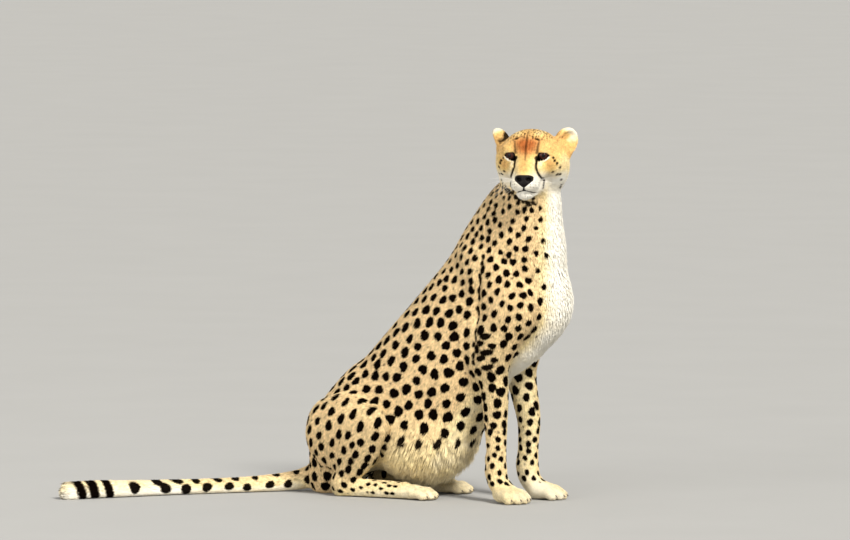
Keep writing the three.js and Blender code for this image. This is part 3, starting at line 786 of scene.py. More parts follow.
def bare_skin(p):
    """Distance to the edge of bare black skin: nose pad, lips and rims of the lids; below zero on it."""
    y = np.abs(p[:, 1])
    pad = np.maximum(p[:, 2] + 43.0 + 6.0 * (y / 23) ** 4, y - 23.5)
    pad = np.maximum(pad, (y * 0.80 - (p[:, 2] + 76)) * 0.78)
    pad = np.maximum(pad, 97 - p[:, 0])
    slit = np.maximum(y - 1.2, np.maximum(p[:, 2] + 72, -82 - p[:, 2]))
    lips = np.abs(p[:, 2] - lip_line(p)) - (2.2 + 2.2 * np.exp(-((y / 9) ** 2)) - 3.0 * ease(y, 18, 32))
    mouth = np.maximum(np.minimum(lips, slit), 62 - p[:, 0])
    rims = FAR
    for s in (1, -1):
        gap, q = between_lids(p, s)
        near = np.where((np.linalg.norm(p - eye_centre(s), axis=1) < 30) & (q[:, 0] > 0), gap - 2.4, FAR)
        corner = np.linalg.norm(q[:, 1:] - (-s * 14.5, -3.6), axis=1) - 2.2
        corner = np.where((np.linalg.norm(p - eye_centre(s), axis=1) < 32) & (q[:, 0] > 0), corner, FAR)
        rims = np.minimum(rims, np.minimum(near, corner))
    return np.minimum(np.minimum(pad, mouth), rims)


def moved(values, amount, goals):
    """Several values, each moved part of the way to its goal."""
    return [v + amount * (goal - v) for v, goal in zip(values, goals)]


def spot_plan(P, parts, share):
    """For places on the skin: the room that a spot takes, its half length along the hair, its half width and
    how dark it is; a room of 0 means no spots there."""
    x, z = P[:, 0], P[:, 2]
    p = to_head(P)
    on_trunk, on_head, belly_side = share["trunk"], share["head"], parts["trunk"][3]
    rump = ease(z, 620, 420)
    grow = 8.0 + 4.3 * rump
    room, long, wide = 24.0 + 10.5 * rump, grow * 1.05, grow * 0.97
    nape = ease(z, 640, 780)
    room, long, wide = room - 4 * nape, long - 1.0 * nape, wide - 1.8 * nape
    flank = ease(z, 270, 150) * ease(x, 200, 120) * ease(x, -120, -60)
    room, long, wide = room + 8 * flank, long + 2 * flank, wide - 1.0 * flank
    low = ease(z, 175, 130) * ease(x, -110, -60)
    long, wide = long - 1.5 * low, wide - 3.2 * low
    front = ease(belly_side, 0.35, 0.85) * ease(z, 300, 380)
    plan = room + 8 * front, long - 1.6 * front, wide - 1.6 * front

    plan = moved(plan, share["shoulder_left"] + share["shoulder_right"], (26, 9.4, 8.4))
    plan = moved(plan, on_trunk * ease(z, 735, 770), (14.5, 6.6, 4.6))
    down = ease(z, 330, 110)
    on_forelegs = share["foreleg_left"] + share["foreleg_right"]
    plan = moved(plan, on_forelegs, (31 - 10 * down, 12.6 - 4.6 * down, 11.0 - 4.2 * down))
    high = ease(z, 100, 200)
    haunch = sum(share[n] for n in parts if n.startswith(("thigh", "shank")))
    plan = moved(plan, haunch, (27 + 9 * high, 11.2 + 2.0 * high, 7.8 + 2.0 * high))
    plan = moved(plan, share["hindfoot_left"] + share["hindfoot_right"], (21, 6.6, 4.2))
    room, long, wide = moved(plan, on_head, (11.5, 3.7, 2.9))

    edge = 0.84 + 0.10 * np.sin(z / 23) * np.sin(z / 9.1 + 2) - 0.25 * ease(z, 715, 765)
    none = (belly_side > edge) & (on_trunk > 0.5) & (z > 250)  # throat and breast
    none |= (z < 128) & (on_trunk > 0.5) & (x > -70)  # belly
    none |= (z < 105) & (x > -150) & (x < 40) & (on_trunk > 0.2)
    none |= ((z < 42) & (on_forelegs > 0.5)) | ((z < 60) & (x > -30) & (x < 120)) | (z < 8)  # feet
    none |= (share["tail"] > 0.5) & (parts["tail"][2] > 20)  # these are laid in rows
    in_front = (p[:, 0] > 8 + 0.5 * (p[:, 2] - 20)) | ((p[:, 2] < 12) & (p[:, 0] > -28))
    none |= (on_head > 0.4) & in_front  # face and cheeks
    none |= np.minimum(*(np.linalg.norm(in_ear(p, e) - (0, 0, 26), axis=1) for e in SIDES)) < 46
    strength = (1 - 0.35 * on_head) * (1 - 0.015 * on_trunk * ease(z, 190, 120) * ease(x, -110, -60))
    return np.where(none, 0.0, room), long, wide, strength


RING_LEAN = 7.0  # how much nearer to the tip a ring is at its top than at the tail's side
RINGS = ((0.0, 12.0), (34.0, 13.0), (74.0, 11.0))  # each dark ring: how far back from the first, half width
TAIL_LENGTH = float(np.linalg.norm(np.diff(smooth_stations(TAIL)[:, :3], axis=0), axis=1).sum())
FIRST_RING = TAIL_LENGTH - 18.0
TAIL_ROWS = 22  # spots along each side of the tail, before its rings


def scatter(P, room, rng, taken=(), gap=0.0):
    """Picks vertices in a chance order so that no two are closer than their shared room."""
    order = rng.permutation(len(P))
    P, room = P[order], room[order]
    alive = room > 0
    for centre, radius in taken:
        alive &= ((P - centre) ** 2).sum(1) > (radius + gap) ** 2
    chosen = []
    while alive.any():
        i = int(alive.argmax())
        chosen.append(i)
        alive &= ((P - P[i]) ** 2).sum(1) > (0.5 * (room + room[i])) ** 2
    return order[chosen]


def even_out(P, room, picks, fixed, rounds=7):
    """Moves each pick to the middle of the vertices that are nearer to it than to any other pick or fixed
    point, so that picks stand evenly."""
    free = np.flatnonzero(room > 0)
    Q, weight = P[free], 1 / room[free] ** 2
    for _ in range(rounds):
        centres = np.vstack([P[picks], fixed])
        choice = nearest_spots(Q, centres)
        own = choice[np.arange(len(Q)), ((Q[:, None] - centres[choice]) ** 2).sum(2).argmin(1)]
        total = np.bincount(own, weight, len(centres)) + 1e-9
        middle = np.column_stack([np.bincount(own, weight * Q[:, i], len(centres)) / total for i in range(3)])
        order = np.lexsort((((Q - middle[own]) ** 2).sum(1), own))
        held, first = np.unique(own[order], return_index=True)
        moving = held < len(picks)
        picks = picks.copy()
        picks[held[moving]] = free[order[first[moving]]]
    return picks


# Small dots on the side of each cheek: out from the face's middle, up from the eyes, radius.
CHEEK_DOTS = (
    (62, -7, 2.3), (66, -14, 2.8), (70, -21, 3.1), (75, -32, 2.9), (60, -42, 2.4), (68, -49, 3.1),
    (75, -50, 2.8), (73, -66, 2.8), (71, -78, 2.9), (68, -90, 3.2),
)
# Dark dashes on the brow: out from the middle and up, half length, half width, how far it slants up outwards.
BROW_DASHES = (
    (26, 39, 6.5, 3.2, 0.0), (58, 48, 5.5, 3.0, -0.4), (42, 54, 4.2, 2.6, 0.0), (12, 57, 3.6, 2.2, 0.2),
    (49, 33, 3.2, 1.6, -0.5), (14, 45, 3.4, 1.5, 0.4),
)
# Streaks where the skin creases over the elbow: x, z, half length, half width.
ELBOW_STREAKS = (
    (222, 418, 17, 7.6), (204, 399, 12, 7.4), (238, 396, 12, 7.4), (222, 379, 18, 8.0), (206, 361, 12, 7.6),
    (240, 360, 11, 7.6), (220, 342, 16, 8.0),
)
# Dark streaks of painted shade under the jaw, in the ruff on the side to which the head turns: out from the
# face's middle and up.
JAW_SHADE_STREAKS = ((-60, -92), (-47, -99), (-33, -107), (-19, -114), (-4, -121), (11, -127))


def make_spots(P, N, lie, parts, share):
    """All the spots: where each is, the way it lies, its size, how dark it is and the waves of its edge.
    First come the streaks along the folds and the rows of the tail, then the spots that share out the rest
    of the body, dots between them, flecks on the crown, the marks of the face, and dark streaks of painted
    shade under the jaw."""
    rng = np.random.default_rng(11)
    room, long, wide, strength = spot_plan(P, parts, share)
    spots = []

    def add(i, way, half_long, half_wide, dark):
        """One spot at a vertex, lying along a way that is laid into the skin there."""
        way = unit(way - (way @ N[i]) * N[i])
        sizes = (np.array([v]) for v in (half_long, half_wide, dark))
        spots.append((P[i][None], way[None], N[i][None], *sizes))

    path = smooth_stations([(*step, 0) for step in FOLD], 4)[2:, :2]
    for s in SIDES.values():
        side = np.flatnonzero((P[:, 1] * s > 40) & (P[:, 0] > 150) & (P[:, 0] < 290))
        for a, b in zip(path[:-1], path[1:]):
            i = side[((P[side][:, (0, 2)] - a - rng.uniform(-5, 5, 2)) ** 2).sum(1).argmin()]
            half_long, half_wide = rng.uniform(7.0, 9.0), rng.uniform(5.5, 7.0)
            add(i, np.array([b[0] - a[0], 0, b[1] - a[1]]), half_long, half_wide, 0.99)
        for x, z, half_long, half_wide in ELBOW_STREAKS:
            i = side[((P[side][:, (0, 2)] - (x, z)) ** 2).sum(1).argmin()]
            add(i, np.array([1.0, 0, rng.uniform(-0.1, 0.45)]), half_long, half_wide, 0.995)
    at = parts["tail"]
    for s in SIDES.values():
        side = np.flatnonzero((share["tail"] > 0.5) & (N @ np.array((*TAIL_SIDE[:2], 0)) * s > 0))
        for k in range(TAIL_ROWS):
            l = FIRST_RING - 140 - (0 if k == 0 else 39 + 27 * k) + rng.uniform(-4, 4)
            height = 0.15 if k == 0 else (0.72 if k % 2 else -0.12)
            near = (at[2][side] - l) ** 2 + (20 * (at[3][side] - height)) ** 2
            if l > 12:
                half = 16.0 - 5.0 * min(k / 8, 1) - (1.5 if k % 2 else 0)
                i = side[near.argmin()]
                add(i, lie[i], half * rng.uniform(0.95, 1.12), half * 0.86, 0.995)
    placed = [(spot[0][0], 0.5 * (spot[3][0] + spot[4][0])) for spot in spots]
    fixed = np.array([c for c, _ in placed])
    main = even_out(P, room, scatter(P, room * 0.8, rng, taken=placed, gap=8.5), fixed)
    main = main[scatter(P[main], room[main] * 0.82, rng, taken=placed, gap=8.5)]
    main = even_out(P, room, main, fixed, rounds=3)
    size = rng.uniform(0.90, 1.10, len(main))
    spots.append((P[main], lie[main], N[main], long[main] * size, wide[main] * size, strength[main]))
    fill = np.where(room > 20, 42.0, 0.0) * (share["head"] < 0.3)
    dots = scatter(P, fill, rng, taken=[*placed, *zip(P[main], long[main])], gap=8.0)
    size = rng.uniform(1.6, 3.2, len(dots))
    spots.append((P[dots], lie[dots], N[dots], size * 1.2, size, rng.uniform(0.4, 0.8, len(dots))))
    p = to_head(P)
    brow = (share["head"] > 0.5) & (p[:, 2] > 16) & (p[:, 0] > -55) & (np.abs(p[:, 1]) < 72) & (p[:, 0] < 58)
    flecks = scatter(P, np.where(brow, 7.0 + 9.0 * ease(p[:, 0], 0, -45), 0.0), rng)
    size = rng.uniform(1.1, 2.4, len(flecks))
    dark = rng.uniform(0.4, 1.0, len(flecks)) * (0.15 + 0.85 * ease(p[flecks, 2], 26, 46))
    spots.append((P[flecks], lie[flecks], N[flecks], size * 1.9, size, dark))
    on_head = np.flatnonzero(share["head"] > 0.5)

    def on_face(out, up, among=on_head):
        """The vertex seen at a place on the face, or on the neck under it, from in front."""
        away = np.hypot(p[among, 1] - out, p[among, 2] - up) - 0.05 * p[among, 0]
        return among[away.argmin()]

    on_neck = np.flatnonzero((share["trunk"] > 0.3) & (P[:, 2] > 700))
    # dark streaks that paint the shade under the jaw, on the side to which the head turns
    for out, up in JAW_SHADE_STREAKS:
        way = (0, 1, rng.uniform(-0.75, -0.35)) @ HEAD
        i = on_face(out, up + rng.uniform(-3, 3), on_neck)
        add(i, way, rng.uniform(9, 13), rng.uniform(3.6, 4.8), 0.97)
    for s in (1, -1):
        for out, up, radius in CHEEK_DOTS:
            i = on_face(s * (out + rng.uniform(-0.7, 0.7)) + HEAD_LEAN / 2, up + rng.uniform(-0.7, 0.7))
            add(i, lie[i], radius * 1.3, radius * 1.25, 0.99)
        for row, place_in_row in np.ndindex(3, 4):
            i = on_face(s * (17 + 5.5 * place_in_row), -60 - 6.5 * row - 0.8 * place_in_row)
            add(i, lie[i], 1.3, 1.0, 0.55)
        for out, up, half_long, half_wide, slant in BROW_DASHES:
            add(on_face(s * out, up), (0, s, slant) @ HEAD, half_long, half_wide, 0.92)
    names = ("centre", "way", "normal", "long", "wide", "strength")
    all_spots = {name: np.concatenate(c) for name, c in zip(names, zip(*spots))}
    all_spots["across"] = np.cross(all_spots["normal"], all_spots["way"])
    all_spots["lobes"] = rng.uniform(0, 2 * np.pi, (len(all_spots["centre"]), 2))
    return all_spots


SPOT_CELL = 16.0  # millimetres
SPOT_CHOICES = 12  # how many spots are tried at each point


def nearest_spots(P, centres, reach=0.0):
    """For each point, the spots that come nearest to the middle of its cell of space, where each comes as
    near as its centre less its reach."""
    cell = np.floor(P / SPOT_CELL).astype(int)
    cells, which = np.unique(cell, axis=0, return_inverse=True)
    middles = ((cells + 0.5) * SPOT_CELL).astype(np.float32)
    c = centres.astype(np.float32)
    d = np.sqrt(np.maximum((middles**2).sum(1)[:, None] + (c**2).sum(1) - 2 * middles @ c.T, 0)) - reach
    choice = np.argpartition(d, SPOT_CHOICES, axis=1)[:, :SPOT_CHOICES]
    return choice[which.ravel()]


def spot_distance(P, spots):
    """Millimetres to the edge of the nearest spot, below zero inside it, and that spot's strength. A spot is
    an ellipse in the plane of the skin with two slow waves round its edge."""
    best, strength = np.full(len(P), 30.0), np.zeros(len(P))
    choice = nearest_spots(P, spots["centre"], spots["long"].astype(np.float32))
    for k in range(SPOT_CHOICES):
        i = choice[:, k]
        q = P - spots["centre"][i]
        x = (q * spots["way"][i]).sum(1)
        y = (q * spots["across"][i]).sum(1)
        z = (q * spots["normal"][i]).sum(1)
        a, b = spots["long"][i], spots["wide"][i]
        turn, lobes = np.arctan2(y, x), spots["lobes"][i]
        wave = 1 + 0.08 * np.cos(2 * turn + lobes[:, 0]) + 0.06 * np.cos(3 * turn + lobes[:, 1])
        d = (np.hypot(x / a, y / b) / wave - 1) * np.sqrt(a * b) + np.clip(np.abs(z) - 12, 0, 100)
        closer = d < best
        best[closer] = d[closer]
        strength[closer] = spots["strength"][i[closer]]
    return best, strength


def tail_rings(l, across):
    """Distance to the edge of the dark rings near the end of the tail. They lean, and are narrower below."""
    d, l = np.full(len(l), FAR), l - RING_LEAN * across
    for back, half in RINGS:
        d = np.minimum(d, np.abs(l - (FIRST_RING - back)) - half + 3.0 * ease(-across, 0.3, 1.0))
    return d


# Orange on the face: strength, middle and half width, each as a place out from the middle plane and up.
ORANGE_PATCHES = ((0.42, (0, 46), (70, 26)), (0.44, (0, -20), (16, 26)), (0.40, (54, -24), (15, 17)),
                  (0.36, (68, 14), (22, 30)))


def ground_tones(P, N, parts, share):
    """How tan each vertex is, from 0, white, to 1, full colour, and how orange, from 0 to 1."""
    x, z = P[:, 0], P[:, 2]
    p = to_head(P)
    ahead, y, up = p[:, 0], np.abs(p[:, 1]), p[:, 2]
    belly_side = parts["trunk"][3]
    trunk_tan = (0.16 + 0.84 * ease(belly_side, 0.90, 0.62)) * ease(belly_side, 0.97, 0.86)
    above = ease(z, 60, 250) + ease(z, 330, 420) + ease(x, -90, -150)
    trunk_tan = np.minimum(trunk_tan, 0.30 + 0.70 * np.clip(above, 0, 1))
    tan = {"trunk": np.maximum(trunk_tan, 0.36 * ease(z, 330, 240))}
    for side, s in SIDES.items():
        outer = parts["foreleg_" + side][3]
        tan["shoulder_" + side] = np.full(len(P), 0.95)
        tan["foreleg_" + side] = (0.38 + 0.36 * ease(outer, -0.6, 0.5)) * (0.45 + 0.55 * ease(z, 20, 90))
        tan["thigh_" + side] = 0.45 + 0.5 * ease(P[:, 1] * s, 60, 100)
        tan["shank_" + side] = 0.35 + 0.45 * ease(parts["shank_" + side][3], -0.4, 0.6)
        tan["hindfoot_" + side] = 0.30 + 0.3 * ease(z, 10, 40) * ease(x, 40, -80)
    l, top = parts["tail"][2], np.abs(parts["tail"][3]) * np.sign(N[:, 2])
    tan["tail"] = (0.20 + 0.65 * ease(top, -0.3, 0.5)) * (1 - 0.6 * ease(l, 200, 480))
    white_face = ease(up, -36, -62) * ease(ahead, -60, 20)
    side_white = ease(up, -20, -60) * ease(ahead, -10, 20)
    tan["head"] = (0.62 + 0.22 * ease(up, 10, 45)) * (1 - np.maximum(white_face, side_white * 0.9))
    total = sum(share[n] * tan[n] for n in parts)

    out = np.column_stack([y, up])
    orange = 0.68 * np.exp(-(np.abs(y / 36) ** 3) - np.abs((up - 19) / 21) ** 3)
    for strength, middle, size in ORANGE_PATCHES:
        orange = orange + strength * bell(out, middle, size)
    orange = np.clip(orange, 0, 1) * ease(ahead, -70, 0)
    dash = bell(out, (26, 49), (12, 6)) + 0.6 * bell(out, (50, 58), (12, 6))
    orange = orange * (1 - 0.8 * dash)
    total = total * (1 - 0.4 * dash * share["head"])
    for s in (1, -1):
        gap, q = between_lids(p, s)
        near = (np.linalg.norm(p - eye_centre(s), axis=1) < 40) & (q[:, 0] > 0)
        under = ease(gap, 8, 4) * ease(q[:, 2], 0, -6) * (0.35 + 0.65 * ease(q[:, 1] * s, -8, 4))
        over = ease(gap, 8, 4) * ease(q[:, 2], 2, 6) * ease(q[:, 1] * s, -4, 4)
        inner = ease(np.abs(y - 34), 7, 2) * ease(up, -8, -14) * ease(up, -50, -30)
        pale = near * np.maximum(np.maximum(under, over * 0.35), inner * 0.6)
        orange = orange * (1 - pale)
        total = total * (1 - 0.9 * pale * share["head"])
    for side in SIDES:
        q = in_ear(p, side)
        on_ear = ease(np.linalg.norm(q - (0, 0, 26), axis=1), 56, 42)
        inside = ease(ball(q, *EAR_HOLLOW), 4, 1)
        tip = ease(q[:, 2], 30, 48)
        low = ease(q[:, 2], 10, -6)
        if side == "left":
            low = np.maximum(ease(q[:, 1], 8, -8), ease(q[:, 2], 34, 16))
        total = total * (1 - on_ear) + on_ear * (0.8 - 0.6 * np.maximum(tip, inside * (1 - 0.6 * low)))
        orange = orange * (1 - on_ear) + on_ear * 0.42 * (1 - tip) * (1 - inside * (1 - low))
    return np.clip(total, 0, 1), np.clip(orange * share["head"], 0, 1)


def ear_backs(p):
    """Distance to the edge of the black patch on the back of each ear; the right ear has a band more."""
    d = np.full(len(p), FAR)
    for side in SIDES:
        q = in_ear(p, side)
        leaf = np.linalg.norm(q - (-4, 0, 24), axis=1) - 36
        patch = np.hypot(q[:, 1] / 24, (q[:, 2] - 18) / 22) * 22 - 22
        d = np.minimum(d, np.maximum(np.maximum(patch, q[:, 0] + 13), leaf))
        if side == "right":
            band = np.hypot(q[:, 1] / 34, (q[:, 2] - 20) / 8.5) * 8.5 - 8.5
            d = np.minimum(d, np.maximum(np.maximum(band, q[:, 0] + 4), leaf))
    return d


# ------------------------------------------------------------------------------ tufts of hair


def face_share(p):
    """1 on the short-haired face, 0 on the rest of the head."""
    return ease(np.linalg.norm((p - (60, 0, -25)) / (70, 62, 66), axis=1), 1.2, 0.95)


def tuft_plan(P, parts, share):
    """For each vertex: a tuft's length and width in millimetres and how many stand on a square millimetre."""
    x, z = P[:, 0], P[:, 2]
    p = to_head(P)
    plan = np.full(len(P), 12.5), np.full(len(P), 2.45), np.full(len(P), 1 / 6.7)

    def toward(amount, *goals):
        """Moves the plan part of the way to another length, width and number."""
        nonlocal plan
        plan = moved(plan, amount, goals)

    breast = ease(parts["trunk"][3], 0.6, 0.95)
    toward(share["trunk"] * breast * ease(z, 300, 420), 20, 2.7, 1 / 8.0)
    toward(share["trunk"] * ease(z, 250, 130) * ease(x, -110, -40), 38, 2.5, 1 / 7.7)
    haunch = share["thigh_left"] + share["thigh_right"]
    toward(haunch * ease(x, -200, -260), 19, 2.7, 1 / 7.5)
    for side in SIDES:
        toward(share["foreleg_" + side] * ease(z, 400, 200), 10, 2.1, 1 / 5.2)
        toward(share["hindfoot_" + side], 8, 1.9, 1 / 4.7)
        toward(share["foreleg_" + side] * ease(z, 90, 45), 6.5, 1.5, 1 / 3.1)
    toward(ease(z, 60, 30) * (x > -40) * ease(np.abs(P[:, 1]), 48, 60), 6.0, 1.4, 1 / 3.0)  # toes
    toward(share["tail"], 14, 2.4, 1 / 5.8)
    toward(share["tail"] * ease(parts["tail"][2], TAIL_LENGTH - 60, TAIL_LENGTH), 24, 2.4, 1 / 5.0)
    toward(share["head"], 9.0, 1.65, 1 / 3.4)
    toward(share["head"] * ease(p[:, 2], 20, 40), 6.0, 1.3, 1 / 2.4)
    toward(share["head"] * face_share(p), 3.9, 0.92, 1 / 1.25)
    ruff = share["head"] * ease(p[:, 2], -30, -70) * ease(p[:, 0], 40, -5)
    toward(ruff, 15, 1.8, 1 / 3.4)
    for side in SIDES:
        q = in_ear(p, side)
        on_ear = ease(np.linalg.norm(q - (0, 0, 26), axis=1), 54, 44)
        toward(on_ear, 6, 1.2, 1 / 1.8)
        toward(on_ear * ease(ball(q, *EAR_HOLLOW), 5, 1) * ease(q[:, 2], 44, 24), 14, 1.4, 1 / 2.4)
    return plan


def socket(p):
    """True in and round the opening for an eyeball, where no hair grows."""
    inside = np.zeros(len(p), bool)
    for s in (1, -1):
        gap, q = between_lids(p, s)
        inside |= (gap < 1.2) & (np.linalg.norm(p - eye_centre(s), axis=1) < 32) & (q[:, 0] > -4)
    return inside


def sow(P, tris, many, rng):
    """Roots over the skin: each triangle gets its area times the number wanted, rounded by chance. Gives each
    root's triangle and the shares of its three corners."""
    a, b, c = P[tris[:, 0]], P[tris[:, 1]], P[tris[:, 2]]
    area = 0.5 * np.linalg.norm(np.cross(b - a, c - a), axis=1)
    count = np.floor(area * many[tris].mean(1) + rng.random(len(tris))).astype(int)
    face = np.repeat(np.arange(len(tris)), count)
    r = np.sqrt(rng.random(len(face)))
    t = rng.random(len(face))
    return face, np.column_stack([1 - r, r * (1 - t), r * t])


def mixed(values, tris, face, share):
    """Values of the vertices, mixed at the roots."""
    v = values[tris[face]]
    return (v * share.reshape(share.shape + (1,) * (v.ndim - 2))).sum(1)


# One short tuft: a root point, a three-cornered ring and a tip. One long tuft has two rings.
SHORT_FACES = np.array([(0, 1, 2), (0, 2, 3), (0, 3, 1), (4, 2, 1), (4, 3, 2), (4, 1, 3)])
LONG_FACES = np.array([(0, 1, 2), (0, 2, 3), (0, 3, 1), (4, 2, 1), (4, 5, 2), (5, 3, 2), (5, 6, 3), (6, 1, 3),
                       (6, 4, 1), (7, 5, 4), (7, 6, 5), (7, 4, 6)])
# The rings of a tuft with one or two: place along it, height in the coat and width, each as a share.
TUFT_RINGS = {1: ((0.42, 0.62, 1.0),), 2: ((0.30, 0.50, 1.0), (0.68, 0.86, 0.72))}
PATCH = 0.0015  # half the width of a tuft's patch on its bake map
LONG_TUFT = 16.5  # millimetres from which a tuft has two rings
TUFTS_IN_LOCK = 12
FEWEST_LONG = 400  # with fewer long tufts than this a region has no locks


def gather(root, normal, lie, long, rng):
    """Long hair comes together in locks round tufts picked by chance: each tuft leans towards the tip of the
    nearest of these. Gives the tufts' ways and a chance for each, the same all through its lock."""
    heads = rng.choice(len(root), max(SPOT_CHOICES + 1, len(root) // TUFTS_IN_LOCK), replace=False)
    choice = nearest_spots(root, root[heads])
    own = choice[np.arange(len(root)), ((root[:, None] - root[heads][choice]) ** 2).sum(2).argmin(1)]
    goal = root[heads] + lie[heads] * long[heads, None] * 1.1
    lean = goal[own] - root
    lean -= (lean * normal).sum(1, keepdims=True) * normal
    pull = 0.65 * ease(long, 22, 32)[:, None]
    return unit(lie * (1 - pull) * long[:, None] + lean * pull), rng.random(len(heads))[own]


def shape_tufts(root, normal, lie, long, wide, depth, rng, rings):
    """The tufts' vertices: each leaves the skin, rises to the coat's depth and lies along it to a point, its
    rings flat below and ridged above. Also the place along each tuft, and the shading normals, which lean
    from the ridge to the skin's own normal."""
    n = len(root)
    swing = rng.normal(0, 0.16 if rings == 1 else 0.08, n)
    side = np.cross(normal, lie)
    way = lie * np.cos(swing)[:, None] + side * np.sin(swing)[:, None]
    if rings == 2:
        way[:, 2] -= 0.4 * np.clip(0.2 - normal[:, 2], 0, 1)  # long hair hangs
    way = unit(way)
    side = unit(np.cross(normal, way))
    long = long * rng.uniform(0.75, 1.15, n)
    wide = wide * rng.uniform(0.8, 1.2, n)
    tip_height = depth * (rng.uniform(0.80, 1.12, n) if rings == 1 else rng.uniform(0.45, 1.20, n))
    points = [root - 0.4 * normal]
    along = [np.zeros(n)]
    bend = [normal - 0.2 * way]
    sway = rng.normal(0, 0.05, n) * long
    for reach, rise, width in TUFT_RINGS[rings]:
        middle = root + way * (long * reach)[:, None] + normal * (tip_height * rise)[:, None]
        middle = middle + side * (sway * reach * reach)[:, None]
        half = (wide * width / 2)[:, None]
        ridge = 0.26 * 2 * half
        points += [middle - side * half, middle + normal * ridge, middle + side * half]
        along += [np.full(n, reach)] * 3
        bend += [normal - 0.45 * side, normal, normal + 0.45 * side]
    points.append(root + way * long[:, None] + normal * tip_height[:, None] + side * sway[:, None])
    points = np.stack(points, 1)
    points[..., 2] = np.maximum(points[..., 2], 0.3)
    along.append(np.ones(n))
    bend.append(normal + 0.3 * way)
    return points, np.stack(along, 1), unit(np.stack(bend, 1)), way


def thigh_line(s):
    """The line through a thigh round which its unwrap goes."""
    return [(-270, s * 84, 120, 60, 80), (-165, s * 100, 170, 60, 90), (-80, s * 116, 190, 60, 60)]


def chart(P, region):
    """An unwrap of the skin of one region, from 0 to 1 each way: round and along its own tube, or for the
    head outward from the nose like a map of the globe from its pole."""
    if region in ("head", "face"):
        p = to_head(P) - (-4, 0, -14)
        p = unit(p * (0.8, 1, 1))
        polar = np.arccos(np.clip(p[:, 0], -1, 1)) / np.pi
        turn = np.arctan2(p[:, 2], p[:, 1])
        return 0.5 + 0.48 * polar[:, None] * np.column_stack([np.cos(turn), np.sin(turn)])
    if region.startswith("ear"):
        q = in_ear(to_head(P), region[4:])
        turn = np.arctan2(q[:, 1], q[:, 0] + 6)
        return np.column_stack([turn / (2 * np.pi) + 0.5, np.clip((q[:, 2] + 40) / 120, 0, 1)])
    kind, side = region.split("_")[0], region.split("_")[-1]
    s = SIDES.get(side, 1)
    lines = {"foreleg": lambda: foreleg_stations(side), "thigh": lambda: thigh_line(s),
             "hindfoot": lambda: hindfoot_stations(s), "tail": lambda: TAIL}
    stations = lines.get(kind, lambda: BACKBONE)()
    across_way = TAIL_SIDE if region == "tail" else (0, 1, 0)
    _, _, along, across = trace(P, stations, across_way)
    turn = np.arctan2(across[:, 0], across[:, 1]) / (2 * np.pi) + 0.5
    low, high = along.min(), along.max() + 1e-6
    return np.column_stack([turn, (along - low) / (high - low)])


PAIRED_REGIONS = ("chest", "back", "belly", "foreleg", "thigh", "hindfoot")
REGIONS = ["head", "face", "ear_left", "ear_right", "neck", "tail"]
REGIONS += [f"{name}_{side}" for name in PAIRED_REGIONS for side in SIDES]


def region_of(P, parts, share):
    """The piece of coat that each vertex belongs to, as an index into REGIONS."""
    p = to_head(P)
    region = np.zeros(len(P), int)

    def claim(name, where):
        """Gives vertices to a region, whatever they belonged to before."""
        region[where] = REGIONS.index(name)

    def ruled(*starts):
        """True where parts whose names start so have more than half of the share."""
        return sum(share[n] for n in parts if n.startswith(starts)) > 0.5

    for side, s in SIDES.items():
        this_side = P[:, 1] * s > 0
        claim("back_" + side, this_side)
        claim("chest_" + side, this_side & (P[:, 2] > 400))
        claim("belly_" + side, this_side & (P[:, 2] < 260) & (P[:, 0] > -110))
        claim("chest_" + side, ruled("shoulder_" + side))
    claim("neck", (P[:, 2] > 640) & ~ruled("shoulder"))
    for side in SIDES:
        claim("foreleg_" + side, ruled("foreleg_" + side))
        claim("thigh_" + side, ruled("thigh_" + side, "shank_" + side))
        claim("hindfoot_" + side, ruled("hindfoot_" + side))
    claim("tail", ruled("tail"))
    claim("head", ruled("head"))
    claim("face", ruled("head") & (face_share(p) > 0.3))
    for side in SIDES:
        q = in_ear(p, side)
        claim("ear_" + side, ruled("head") & (np.linalg.norm(q - (0, 0, 30), axis=1) < 42) & (q[:, 2] > 4))
    return region


# ------------------------------------------------------------------------------ putting meshes into the scene


def eye_shift():
    """The move from the maker's frame to the model's: where the left eye is, less where it was made."""
    low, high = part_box("eye_left")
    return np.array((low + high) / 2) * 1000 - from_head(eye_centre(1))


SHIFT = eye_shift()


def place(P):
    """Millimetres in the maker's frame to metres in the model's."""
    return (P + SHIFT) / 1000


def add_object(name, data):
    """An object of the scene that holds the data."""
    thing = bpy.data.objects.new(name, data)
    bpy.context.scene.collection.objects.link(thing)
    return thing


def make_piece(name, P, faces, material, point_values=(), uv=None, normals=None):
    """A mesh of triangles with values at its vertices, its map and its shading normals, riding on root."""
    mesh = bpy.data.meshes.new(name)
    mesh.vertices.add(len(P))
    mesh.vertices.foreach_set("co", place(P).astype(np.float32).ravel())
    mesh.loops.add(faces.size)
    mesh.loops.foreach_set("vertex_index", faces.astype(np.int32).ravel())
    mesh.polygons.add(len(faces))
    mesh.polygons.foreach_set("loop_start", np.arange(0, faces.size, 3, dtype=np.int32))
    mesh.polygons.foreach_set("use_smooth", np.ones(len(faces), bool))
    for key, values in point_values:
        attribute = mesh.attributes.new(key, "FLOAT_VECTOR", "POINT")
        attribute.data.foreach_set("vector", np.asarray(values, np.float32).ravel())
    for key, places in uv or ():
        layer = mesh.uv_layers.new(name=key)
        layer.data.foreach_set("uv", np.asarray(places, np.float32)[faces.ravel()].ravel())
    mesh.update(calc_edges=True)
    mesh.validate()
    if normals is not None:
        mesh.normals_split_custom_set_from_vertices(normals.astype(np.float32))
    mesh.materials.append(material)
    piece = add_object(name, mesh)
    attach(piece, "root")
    return piece


# ------------------------------------------------------------------------------ materials


def paint(red, green, blue):
    """A colour given as on a screen, from 0 to 255, made linear."""
    c = np.array([red, green, blue]) / 255
    linear = np.where(c <= 0.04045, c / 12.92, ((c + 0.055) / 1.055) ** 2.4)
    return (*linear.tolist(), 1.0)


